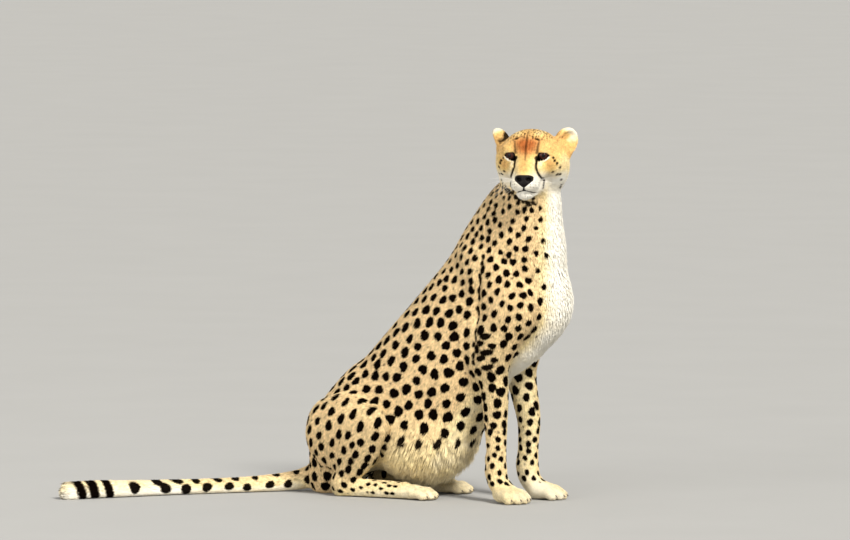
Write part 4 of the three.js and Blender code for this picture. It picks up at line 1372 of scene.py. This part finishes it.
WHITE, CREAM, TAN = paint(240, 236, 224), paint(244, 223, 170), paint(238, 206, 154)
GOLD, ORANGE = paint(240, 202, 128), paint(190, 108, 52)
BLACK, SOOT, BROWN = paint(5, 3, 2), paint(15, 9, 6), paint(84, 50, 28)
LEATHER = paint(11, 9, 9)


def feed(tree, n, inputs):
    """Links each of a node's inputs to another node's output, or sets it to a constant."""
    for key, value in inputs.items():
        if isinstance(value, bpy.types.NodeSocket):
            tree.links.new(value, n.inputs[key])
        else:
            n.inputs[key].default_value = value
    return n


def node(tree, kind, inputs=None, **settings):
    """A shader node with its settings, and its inputs linked or set."""
    n = tree.nodes.new("ShaderNode" + kind)
    for key, value in settings.items():
        setattr(n, key, value)
    return feed(tree, n, inputs or {})


def maths(tree, operation, a, b, clamp=False):
    """The outcome of one operation on two values."""
    return node(tree, "Math", {0: a, 1: b}, operation=operation, use_clamp=clamp).outputs[0]


def mix_colours(tree, amount, a, b, blend_type="MIX"):
    """The first colour where the amount is 0 and the second, or its blend with the first, where it is 1."""
    settings = {"data_type": "RGBA", "blend_type": blend_type}
    return node(tree, "Mix", {"Factor": amount, 6: a, 7: b}, **settings).outputs[2]


def noise(tree, place, scale, detail=2.0, roughness=0.5):
    """Cloudy noise in space, so many waves to the metre."""
    inputs = {"Vector": place, "Scale": scale, "Detail": detail, "Roughness": roughness}
    return node(tree, "TexNoise", inputs).outputs[0]


def swing(tree, value, amount):
    """A noise, from 0 to 1, moved so that it swings round zero, over an amount from its least to its most."""
    return maths(tree, "MULTIPLY", maths(tree, "SUBTRACT", value, 0.5), amount)


def ramp(tree, amount, stops):
    """A colour for each amount, between the colours of the stops next to it."""
    n = node(tree, "ValToRGB", {"Fac": amount})
    for element, (position, colour) in zip(n.color_ramp.elements, (stops[0], stops[-1])):
        element.position, element.color = position, colour
    for position, colour in stops[1:-1]:
        n.color_ramp.elements.new(position).color = colour
    return n.outputs["Color"]


def within(tree, distance, soft):
    """1 where a distance is below zero and 0 above it, over a soft edge of the given width."""
    share = maths(tree, "DIVIDE", distance, soft)
    return maths(tree, "SUBTRACT", 0.5, share, clamp=True)


def coat_colours():
    """The animal's colours as a node group: white to cream to tan, orange on the face, and the dark marks,
    whose edges waver by a millimetre or so; each hair is darker at its root, partly its own colour and partly
    painted shade deep in the coat, and differs a little from the next."""
    tree = bpy.data.node_groups.new("coat_colours", "ShaderNodeTree")
    for name in ("Place", "Tone", "Mark", "Strand"):
        tree.interface.new_socket(name, in_out="INPUT", socket_type="NodeSocketVector")
    tree.interface.new_socket("Colour", in_out="OUTPUT", socket_type="NodeSocketColor")
    tree.interface.new_socket("Dark", in_out="OUTPUT", socket_type="NodeSocketFloat")
    given = tree.nodes.new("NodeGroupInput").outputs
    place_in = given["Place"]
    tan_tone, orange, _ = node(tree, "SeparateXYZ", {0: given["Tone"]}).outputs
    distance, soft, strength = node(tree, "SeparateXYZ", {0: given["Mark"]}).outputs
    along, chance, _ = node(tree, "SeparateXYZ", {0: given["Strand"]}).outputs
    tan = maths(tree, "ADD", tan_tone, swing(tree, noise(tree, place_in, 28, 3), 0.30))
    ground = ramp(tree, tan, ((0.0, WHITE), (0.42, CREAM), (1.0, TAN)))
    warm = ramp(tree, orange, ((0.22, GOLD), (0.85, ORANGE)))
    ground = mix_colours(tree, maths(tree, "MULTIPLY", orange, 4.0, clamp=True), ground, warm)
    flecks = noise(tree, place_in, 420, 2, 0.6)
    light = maths(tree, "ADD", 0.66, maths(tree, "MULTIPLY", flecks, 0.28))
    light = maths(tree, "ADD", light, maths(tree, "MULTIPLY", chance, 0.38))
    light = maths(tree, "ADD", light, swing(tree, noise(tree, place_in, 130, 3), 1.0))
    upright = node(tree, "VectorMath", {0: place_in, 1: (1.0, 1.0, 0.3)}, operation="MULTIPLY").outputs[0]
    streaks = swing(tree, noise(tree, upright, 260, 3, 0.6), maths(tree, "MULTIPLY", orange, 1.3))
    light = maths(tree, "ADD", light, streaks)
    # darker towards the root of each hair: partly the hair's own colour, partly painted shade deep in the
    # coat
    depth = maths(tree, "ADD", 0.62, maths(tree, "MULTIPLY", along, 0.46))
    value = maths(tree, "MULTIPLY", light, depth)
    calm = maths(tree, "MULTIPLY", maths(tree, "SUBTRACT", 0.45, tan), 2.5, clamp=True)
    to_full = maths(tree, "SUBTRACT", 1.0, value)
    value = maths(tree, "ADD", value, maths(tree, "MULTIPLY", calm, to_full))
    shade = node(tree, "CombineColor", {"Red": value, "Green": value, "Blue": value}).outputs[0]
    ground = mix_colours(tree, 1.0, ground, shade, "MULTIPLY")
    edge = maths(tree, "ADD", distance, swing(tree, noise(tree, place_in, 240, 2), 2.6))
    dark = maths(tree, "MULTIPLY", within(tree, edge, soft), strength)
    halo = maths(tree, "MULTIPLY", within(tree, maths(tree, "SUBTRACT", edge, 1.2), 3.5), strength)
    ground = mix_colours(tree, maths(tree, "MULTIPLY", halo, 0.35), ground, BROWN)
    pelt = mix_colours(tree, chance, BLACK, SOOT)
    colour = mix_colours(tree, dark, ground, pelt)
    feed(tree, tree.nodes.new("NodeGroupOutput"), {"Colour": colour, "Dark": dark})
    return tree


def material(name):
    """A new material: itself, its tree, its shader and the place on the object."""
    m = bpy.data.materials.new(name)
    m.use_nodes = True
    tree = m.node_tree
    return m, tree, tree.nodes["Principled BSDF"], node(tree, "TexCoord").outputs["Object"]


def values(tree, name):
    """Values that a piece carries at its vertices."""
    return node(tree, "Attribute", attribute_name=name).outputs["Vector"]


def coat_group(tree, colours, place_out, strand):
    """The outputs of the coat's colours for the tone and mark of the vertices and the strand given."""
    group = tree.nodes.new("ShaderNodeGroup")
    group.node_tree = colours
    inputs = {"Tone": values(tree, "tone"), "Mark": values(tree, "mark")}
    return feed(tree, group, {"Place": place_out, "Strand": strand, **inputs}).outputs


def fur_material(colours):
    """Hair: rough, with a soft sheen on the pale hair."""
    m, tree, shader, place_out = material("fur")
    coat = coat_group(tree, colours, place_out, values(tree, "strand"))
    pale = maths(tree, "SUBTRACT", 1.0, coat["Dark"])
    feed(tree, shader, {
        "Base Color": coat["Colour"],
        "Roughness": 0.62,
        "Specular IOR Level": maths(tree, "MULTIPLY", pale, 0.10),
        "Sheen Weight": maths(tree, "MULTIPLY", pale, 0.04),
        "Sheen Roughness": 0.5,
    })
    return m


def skin_material(colours):
    """Short hair under the tufts, and bare black leather with fine cells at nose, lips and lid rims."""
    m, tree, shader, place_out = material("hide")
    # the short hair of the skin takes the darkness of a hair a third of the way out from its root: partly its
    # own colour, partly painted shade deep in the coat
    coat = coat_group(tree, colours, place_out, (0.35, 0.35, 0.0))
    bare = node(tree, "SeparateXYZ", {0: values(tree, "bare")}).outputs[0]
    leather = within(tree, bare, 0.8)
    tint = mix_colours(tree, noise(tree, place_out, 300), LEATHER, paint(22, 18, 18))
    cells = node(tree, "TexVoronoi", {"Vector": place_out, "Scale": 900.0}).outputs["Distance"]
    hairs = noise(tree, place_out, 1300, 3, 0.7)
    height = node(tree, "Mix", {"Factor": leather, 2: hairs, 3: cells}, data_type="FLOAT").outputs[0]
    feed(tree, shader, {
        "Base Color": mix_colours(tree, leather, coat["Colour"], tint),
        "Roughness": maths(tree, "SUBTRACT", 0.75, maths(tree, "MULTIPLY", leather, 0.33)),
        "Normal": node(tree, "Bump", {"Height": height, "Strength": 0.5, "Distance": 0.0006}).outputs[0],
        "Specular IOR Level": 0.14,
    })
    return m


def eye_material():
    """Round pupil and an iris with fibres and a darker rim, wet all over. The dark red-brown of the iris and
    the near black of the ball round it are partly the eye's own colour and partly painted shade from the
    upper lids.
    """
    m, tree, shader, _ = material("eye")
    disc = node(tree, "UVMap", uv_map="iris").outputs[0]
    centred = node(tree, "VectorMath", {0: disc, 1: (0.5, 0.5, 0.0)}, operation="SUBTRACT").outputs[0]
    length = node(tree, "VectorMath", {0: centred}, operation="LENGTH").outputs["Value"]
    radius = maths(tree, "MULTIPLY", length, 4.0)
    round_way = node(tree, "VectorMath", {0: centred}, operation="NORMALIZE").outputs[0]
    ring = maths(tree, "ADD", radius, swing(tree, noise(tree, round_way, 9, 5, 0.65), 0.35))
    # the iris painted dark: partly its own red-brown, partly painted shade from the upper lids
    iris = ramp(tree, ring, ((0.34, paint(18, 8, 6)), (0.56, paint(62, 24, 14)), (0.76, paint(40, 16, 10)),
                             (0.96, paint(10, 6, 5))))
    rim = ramp(tree, radius, ((0.33, (0, 0, 0, 1)), (0.37, (1, 1, 1, 1))))
    colour = mix_colours(tree, rim, paint(4, 3, 3), iris)
    outside = ramp(tree, radius, ((0.94, (0, 0, 0, 1)), (1.06, (1, 1, 1, 1))))
    feed(tree, shader, {
        # the ball round the iris near black: partly its own colour, partly painted shade from the upper lids
        "Base Color": mix_colours(tree, outside, colour, paint(14, 9, 7)),
        "Roughness": 0.5,
        "Specular IOR Level": 0.1,
        "Coat Weight": 0.25,
        "Coat Roughness": 0.03,
    })
    return m


def claw_material():
    """Dark horn, mottled from place to place, with a fine grain."""
    m, tree, shader, place_out = material("claw_horn")
    grain = noise(tree, place_out, 700, 4)
    colour = ramp(tree, grain, ((0.3, paint(38, 30, 26)), (0.7, paint(92, 78, 66))))
    bump = node(tree, "Bump", {"Height": grain, "Strength": 0.3, "Distance": 0.0003}).outputs[0]
    feed(tree, shader, {"Base Color": colour, "Normal": bump, "Roughness": 0.35})
    return m


def whisker_material():
    """Pale stiff hair, a little darker here and there."""
    m, tree, shader, place_out = material("whisker")
    shift = noise(tree, place_out, 90)
    colour = ramp(tree, shift, ((0.3, paint(236, 230, 218)), (0.8, paint(250, 248, 244))))
    feed(tree, shader, {"Base Color": colour, "Roughness": 0.4})
    return m


# ------------------------------------------------------------------------------ marks of skin and tufts


def overlay(marks, near, value, soft, strength):
    """Lays marks of one kind over the others, at the points where their edge is the nearest."""
    new = np.column_stack([value, np.full(len(value), soft), np.full(len(value), strength)])
    marks[near] = np.where((value < marks[near, 0])[:, None], new, marks[near])


def dark_marks(P, spots):
    """For any points: distance to the edge of the nearest dark mark, how soft that edge is and how dark."""
    d, strength = spot_distance(P, spots)
    marks = np.column_stack([d, np.full(len(P), 1.8), strength])
    p = to_head(P)
    ahead, y, up = p[:, 0], np.abs(p[:, 1]), p[:, 2]
    for lines, near, soft, dark in (
        (tear_lines, (ahead > 16) & (y < 60) & (np.abs(up) < 100), 1.8, 0.98),
        (brow_lines, (ahead > 16) & (y < 60) & (np.abs(up - 20) < 50), 4.5, 0.72),
        (red_lines, (ahead > 16) & (y < 40) & (np.abs(up - 20) < 40), 3.5, 0.36),
        (ear_backs, np.linalg.norm(p - (-10, 0, 10), axis=1) < 160, 4.0, 0.96),
    ):
        overlay(marks, near, lines(p[near]), soft, dark)
    near = P[:, 0] < -380
    _, _, l, across = trace(P[near], TAIL, TAIL_SIDE)
    overlay(marks, near, tail_rings(l, across[:, 1]), 4.0, 1.0)
    return marks


# ------------------------------------------------------------------------------ claws, whiskers and eyes


def lathe_faces(rings, sides):
    """Triangles between rings of vertices laid one after another, with two fans that close the first ring and
    the last, each round a vertex of its own that comes after all the rings."""
    i, j = np.meshgrid(np.arange(rings - 1), np.arange(sides), indexing="ij")
    a, b = i * sides + j, i * sides + (j + 1) % sides
    k, first, last = np.arange(sides), np.full(sides, rings * sides), (rings - 1) * sides
    after = (k + 1) % sides
    faces = [(a, b + sides, b), (a, a + sides, b + sides)]
    faces += [(first, k, after), (first + 1, last + after, last + k)]
    return np.concatenate([np.stack(f, -1).reshape(-1, 3) for f in faces])


def spikes(roots, ways, bends, lengths, radii, sides=8, steps=8):
    """Tapered round spikes: each a tube whose middle line leaves its root along its way and curves by its
    bend, ending in a point, with a flat closed root. Gives all vertices and all faces."""
    n = len(roots)
    t = np.linspace(0, 1, steps, endpoint=False)
    way, bend = unit(ways), np.asarray(bends, float)
    line = way[:, None] * t[:, None] + bend[:, None] * t[:, None] ** 2
    middle = roots[:, None] + line * lengths[:, None, None]
    tip = roots + (way + bend) * lengths[:, None]
    side = unit(np.cross(way, bend + (0, 0, 1e-3)))
    along = unit(way[:, None] + 2 * bend[:, None] * t[:, None])
    up = np.cross(side[:, None], along)
    a = np.arange(sides) * 2 * np.pi / sides
    radius = (radii[:, None] * (1 - t) ** 0.6)[:, :, None, None]
    ring = side[:, None, None] * np.cos(a)[:, None] + up[:, :, None] * np.sin(a)[:, None]
    body = (middle[:, :, None] + ring * radius).reshape(n, -1, 3)
    P = np.concatenate([body, roots[:, None], tip[:, None]], 1)
    faces = lathe_faces(steps, sides)[None] + np.arange(n)[:, None, None] * P.shape[1]
    return P.reshape(-1, 3), faces.reshape(-1, 3)


CLAW_LENGTH, CLAW_RADIUS = 9.0, 2.7


def make_claws(horn):
    """A short blunt claw at the end of each toe, pointing forward and down."""
    for side, s in SIDES.items():
        wx, wy = FORE_FEET[side]["wrist"]
        turn = FORE_FEET[side]["turn"]
        tips = np.array([(wx + ahead + 8.0, wy + spread * 20.6, 13.0) for spread, ahead in TOES])
        tips = turned_about(tips, (wx, wy), -turn)
        claw_row("claws_foreleg_" + side, tips, turn, horn)
        tips = np.array([(ahead + 7.0, s * 94 + spread * 17.8, 12.0) for spread, ahead in HIND_TOES])
        claw_row("claws_hindfoot_" + side, tips, 0.0, horn)


def claw_row(name, tips, turn, horn):
    """The claws of one foot, spread a little like its toes."""
    n = len(tips)
    spread = np.linspace(-0.12, 0.12, n) + turn
    ways = np.column_stack([np.cos(spread), np.sin(spread), np.full(n, 0.05)])
    bends = np.tile((0.0, 0.0, -0.62), (n, 1))
    P, faces = spikes(tips, ways, bends, np.full(n, CLAW_LENGTH), np.full(n, CLAW_RADIUS), sides=10)
    make_piece(name, P, faces, horn)


WHISKER_ROWS, WHISKERS_IN_ROW = 4, 4
WHISKER_RADIUS = 0.2


def make_whiskers(pale):
    """Rows of long tapered hairs on each side of the muzzle, set on the skin and curving back and down."""
    rng = np.random.default_rng(21)
    for side, s in SIDES.items():
        row, place_in_row = (a.ravel() for a in np.indices((WHISKER_ROWS, WHISKERS_IN_ROW)))
        up = -60 - 4.6 * row + 0.8 * place_in_row
        roots = np.column_stack([104 - 7 * place_in_row, s * (22 + 4.6 * place_in_row), up])
        roots = settle(skin_field, from_head(roots), 4, limit=6.0)
        ways = np.column_stack([0.75 - 0.32 * place_in_row, s * (0.9 + 0 * row), 0.16 - 0.17 * row])
        ways = unit(ways + rng.normal(0, 0.05, ways.shape)) @ HEAD
        bends = np.column_stack([-0.30 + 0 * row, s * (0.05 + 0 * row), -0.22 - 0.03 * row]) @ HEAD
        lengths = (34 + 11 * place_in_row - 2 * row) * rng.uniform(0.85, 1.15, len(row))
        radii = np.full(len(row), WHISKER_RADIUS)
        P, faces = spikes(roots - 1.5 * ways, ways, bends, lengths, radii, sides=6, steps=12)
        make_piece("whiskers_" + side, P, faces, pale)


IRIS_RADIUS = 11.6
EYE_RINGS, EYE_SPOKES = 40, 64  # steps from pole to pole, and round


def make_eyes(glass):
    """Each eye is a ball with the bulge of its cornea: radius R + 1.2 exp(-(angle/0.6)^2) from the axis on
    which it looks. Its map holds the place across the iris, which has a quarter of the map as its radius."""
    for side, s in SIDES.items():
        angle = np.linspace(0, np.pi, EYE_RINGS + 1)[1:-1]
        turn = np.arange(EYE_SPOKES) * 2 * np.pi / EYE_SPOKES
        radius = EYE_RADIUS - 0.4 + 1.2 * np.exp(-((angle / 0.6) ** 2))
        look = radius * np.cos(angle)
        out = radius * np.sin(angle)
        rings = np.stack([np.repeat(look, EYE_SPOKES), np.outer(out, np.cos(turn)).ravel(),
                          np.outer(out, np.sin(turn)).ravel()], 1)
        q = np.vstack([rings, [(EYE_RADIUS + 0.8, 0, 0)], [(-EYE_RADIUS + 0.4, 0, 0)]])
        faces = lathe_faces(len(angle), EYE_SPOKES)
        disc = 0.5 + 0.25 * q[:, 1:] / IRIS_RADIUS
        P = from_head(q @ eye_axes(s) + eye_centre(s))
        eye = make_piece("eyeball_" + side, P, faces, glass, uv=(("iris", disc),))
        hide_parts("eye_" + side)


# ------------------------------------------------------------------------------ the animal


def make_coat(P, tris, N, fur, parts, share, lie, tones, spots):
    """Sows tufts over the skin and makes one piece of coat for each region."""
    p = to_head(P)
    long, wide, many = tuft_plan(P, parts, share)
    soles = (P[:, 2] < 3.5) & (N[:, 2] < -0.4)
    hairless = (bare_skin(p) < 0.6) | socket(p) | soles
    many = np.where(hairless, 0.0, many)
    many = many * ~np.isin(np.arange(len(P)), tris[hairless[tris].all(1)])
    depth = coat_depth(P)
    region = region_of(P, parts, share)
    face, corner = sow(P, tris, many, np.random.default_rng(5))
    most = tris[face, corner.argmax(1)]
    for number, name in enumerate(REGIONS):
        rows = region[most] == number
        f, c = face[rows], corner[rows]
        rng = np.random.default_rng(100 + number)

        def at(v):
            """Values of the vertices, at the roots of this region."""
            return mixed(v, tris, f, c)

        root, normal, way = at(P), unit(at(N)), at(lie)
        way = unit(way - (way * normal).sum(1, keepdims=True) * normal)
        length, width, deep, tone = at(long), at(wide), at(depth), at(tones)
        chance = rng.random(len(root))
        is_long = length >= LONG_TUFT
        if is_long.sum() > FEWEST_LONG:
            own = (v[is_long] for v in (root, normal, way, length))
            way[is_long], lock_chance = gather(*own, rng)
            chance[is_long] = 0.4 * chance[is_long] + 0.6 * lock_chance
        shapes = []
        for rings, chosen, pattern in ((1, ~is_long, SHORT_FACES), (2, is_long, LONG_FACES)):
            if not chosen.any():
                continue
            plan = (v[chosen] for v in (root, normal, way, length, width, deep))
            points, along, bend, leaning = shape_tufts(*plan, rng, rings)
            roots, *own = (v[chosen] for v in (root, length, tone, chance))
            tufts = finished_tufts(points, along, bend, roots, leaning, *own, pattern, name, spots, rng)
            shapes.append(tufts)
        start = np.cumsum([0] + [len(s["P"]) for s in shapes])
        whole = {key: np.concatenate([s[key] for s in shapes]) for key in shapes[0] if key != "faces"}
        faces = np.concatenate([s["faces"] + offset for s, offset in zip(shapes, start)])
        attributes = [(key, whole[key]) for key in ("tone", "mark", "strand")]
        uv = (("OFBake", whole["map"]),)
        make_piece("coat_" + name, whole["P"], faces, fur, attributes, uv, whole["bend"])


def finished_tufts(points, along, bend, root, way, long, tone, chance, pattern, region, spots, rng):
    """The arrays of one kind of tuft: vertices, faces, values, shading normals and bake map."""
    n, m = along.shape
    steps, at_step = np.unique(along[0], return_inverse=True)
    marks = [dark_marks(root + way * (0.88 * step * long)[:, None], spots) for step in steps[1:]]
    marks = np.stack([marks[0], *marks], 1)[:, at_step.ravel()]
    marks[..., 0] += rng.normal(0, 0.35, n)[:, None]
    corners = np.zeros((m, 2))
    corners[0], corners[-1] = (-1, 0), (1, 0)
    ring = np.array([(0, -1), (0, 0.1), (0, 1)])
    for k in range((m - 2) // 3):
        corners[1 + 3 * k : 4 + 3 * k] = ring + (0.3 * k, 0)
    patch = chart(root, region)[:, None] * 0.985 + 0.0075 + corners * PATCH
    strand = np.stack([along, np.broadcast_to(chance[:, None], along.shape), np.zeros(along.shape)], -1)
    return {
        "P": points.reshape(-1, 3),
        "faces": (pattern[None] + np.arange(n)[:, None, None] * m).reshape(-1, 3),
        "tone": np.repeat(tone, m, axis=0),
        "mark": marks.reshape(-1, 3),
        "strand": strand.reshape(-1, 3),
        "bend": bend.reshape(-1, 3),
        "map": patch.reshape(-1, 2),
    }


def make_cheetah():
    """Skin, eyes, claws, whiskers and coat, all in the same markings."""
    colours = coat_colours()
    P, tris, N = make_skin()
    parts = parts_near(P)
    share = shares(parts)
    lie = lie_of_coat(parts, share, N)
    spots = make_spots(P, N, lie, parts, share)
    tan, orange = ground_tones(P, N, parts, share)
    tones = np.column_stack([tan, orange, np.zeros(len(P))])
    bare = np.column_stack([bare_skin(to_head(P)), np.zeros((len(P), 2))])
    values_on_skin = (("tone", tones), ("mark", dark_marks(P, spots)), ("bare", bare))
    skin = make_piece("skin", P, tris, skin_material(colours), values_on_skin)
    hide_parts(*(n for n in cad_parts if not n.startswith("eye_")))
    make_eyes(eye_material())
    make_claws(claw_material())
    make_whiskers(whisker_material())
    make_coat(P, tris, N, fur_material(colours), parts, share, lie, tones, spots)


# ------------------------------------------------------------------------------ studio

VIEW_TURN = np.radians(28)
VIEW_RISE = np.radians(4)
VIEW_DISTANCE = 22.0
VIEW_WIDTH = 2.125  # metres across the picture at the animal
AIM = (-11.0, -5.9, 567.5)  # the middle of the picture, in the maker's frame
LIGHT_DISTANCE = 10.0  # metres

ACROSS = np.array([np.cos(VIEW_TURN), np.sin(VIEW_TURN), 0.0])
TOWARD = np.array([np.sin(VIEW_TURN), -np.cos(VIEW_TURN), 0.0])
UP = np.array([0.0, 0.0, 1.0])


def point_at(thing, target):
    """Turns a camera or lamp so that it looks at a place."""
    look = Vector(target) - thing.location
    thing.rotation_euler = look.to_track_quat("-Z", "Y").to_euler()


def set_camera():
    """A long lens from far off, a little above the animal and to its right."""
    data = bpy.data.cameras.new("camera")
    data.sensor_width = 36.0
    data.lens = 36.0 * VIEW_DISTANCE / VIEW_WIDTH
    data.clip_end = 200.0
    camera = add_object("camera", data)
    target = place(np.array(AIM))
    camera.location = target + VIEW_DISTANCE * (TOWARD * np.cos(VIEW_RISE) + UP * np.sin(VIEW_RISE))
    point_at(camera, target)
    bpy.context.scene.camera = camera


def add_light(kind, name, way, power, colour, **settings):
    """A lamp that shines on the animal from a direction."""
    data = bpy.data.lights.new(name, kind)
    data.energy, data.color = power, colour
    for key, value in settings.items():
        setattr(data, key, value)
    light = add_object(name, data)
    middle = place(np.array(AIM))
    light.location = middle + unit(way) * LIGHT_DISTANCE
    point_at(light, middle)


def set_lights():
    """A wide soft key from above on the right, a broad fill from the left and an even pale surround."""
    right, left = ACROSS * 0.52 + TOWARD * 0.85 + UP * 0.85, -ACROSS * 0.9 + TOWARD * 1.0 + UP * 0.3
    add_light("SUN", "key_light", right, 4.7, (1.0, 0.965, 0.89), angle=0.24)
    add_light("AREA", "fill_light", left, 460, (1.0, 0.98, 0.95), size=6.0)
    world = bpy.data.worlds.new("studio")
    world.use_nodes = True
    background = world.node_tree.nodes["Background"]
    feed(world.node_tree, background, {"Color": (1.0, 0.985, 0.955, 1), "Strength": 0.60})
    bpy.context.scene.world = world
    bpy.context.scene.view_settings.view_transform = "Standard"


def make_floor():
    """A plain pale floor, level with the soles."""
    half = 40.0
    mesh = bpy.data.meshes.new("floor")
    corners = [(-half, -half, 0), (half, -half, 0), (half, half, 0), (-half, half, 0)]
    mesh.from_pydata(corners, [], [(0, 1, 2, 3)])
    m, tree, shader, place_out = material("floor_paint")
    mottle = noise(tree, place_out, 3.0, 3)
    colour = ramp(tree, mottle, ((0.3, paint(158, 158, 157)), (0.7, paint(160, 160, 159))))
    feed(tree, shader, {"Base Color": colour, "Roughness": 0.85})
    mesh.materials.append(m)
    floor = add_object("floor", mesh)


set_camera()
set_lights()
make_floor()
make_cheetah()
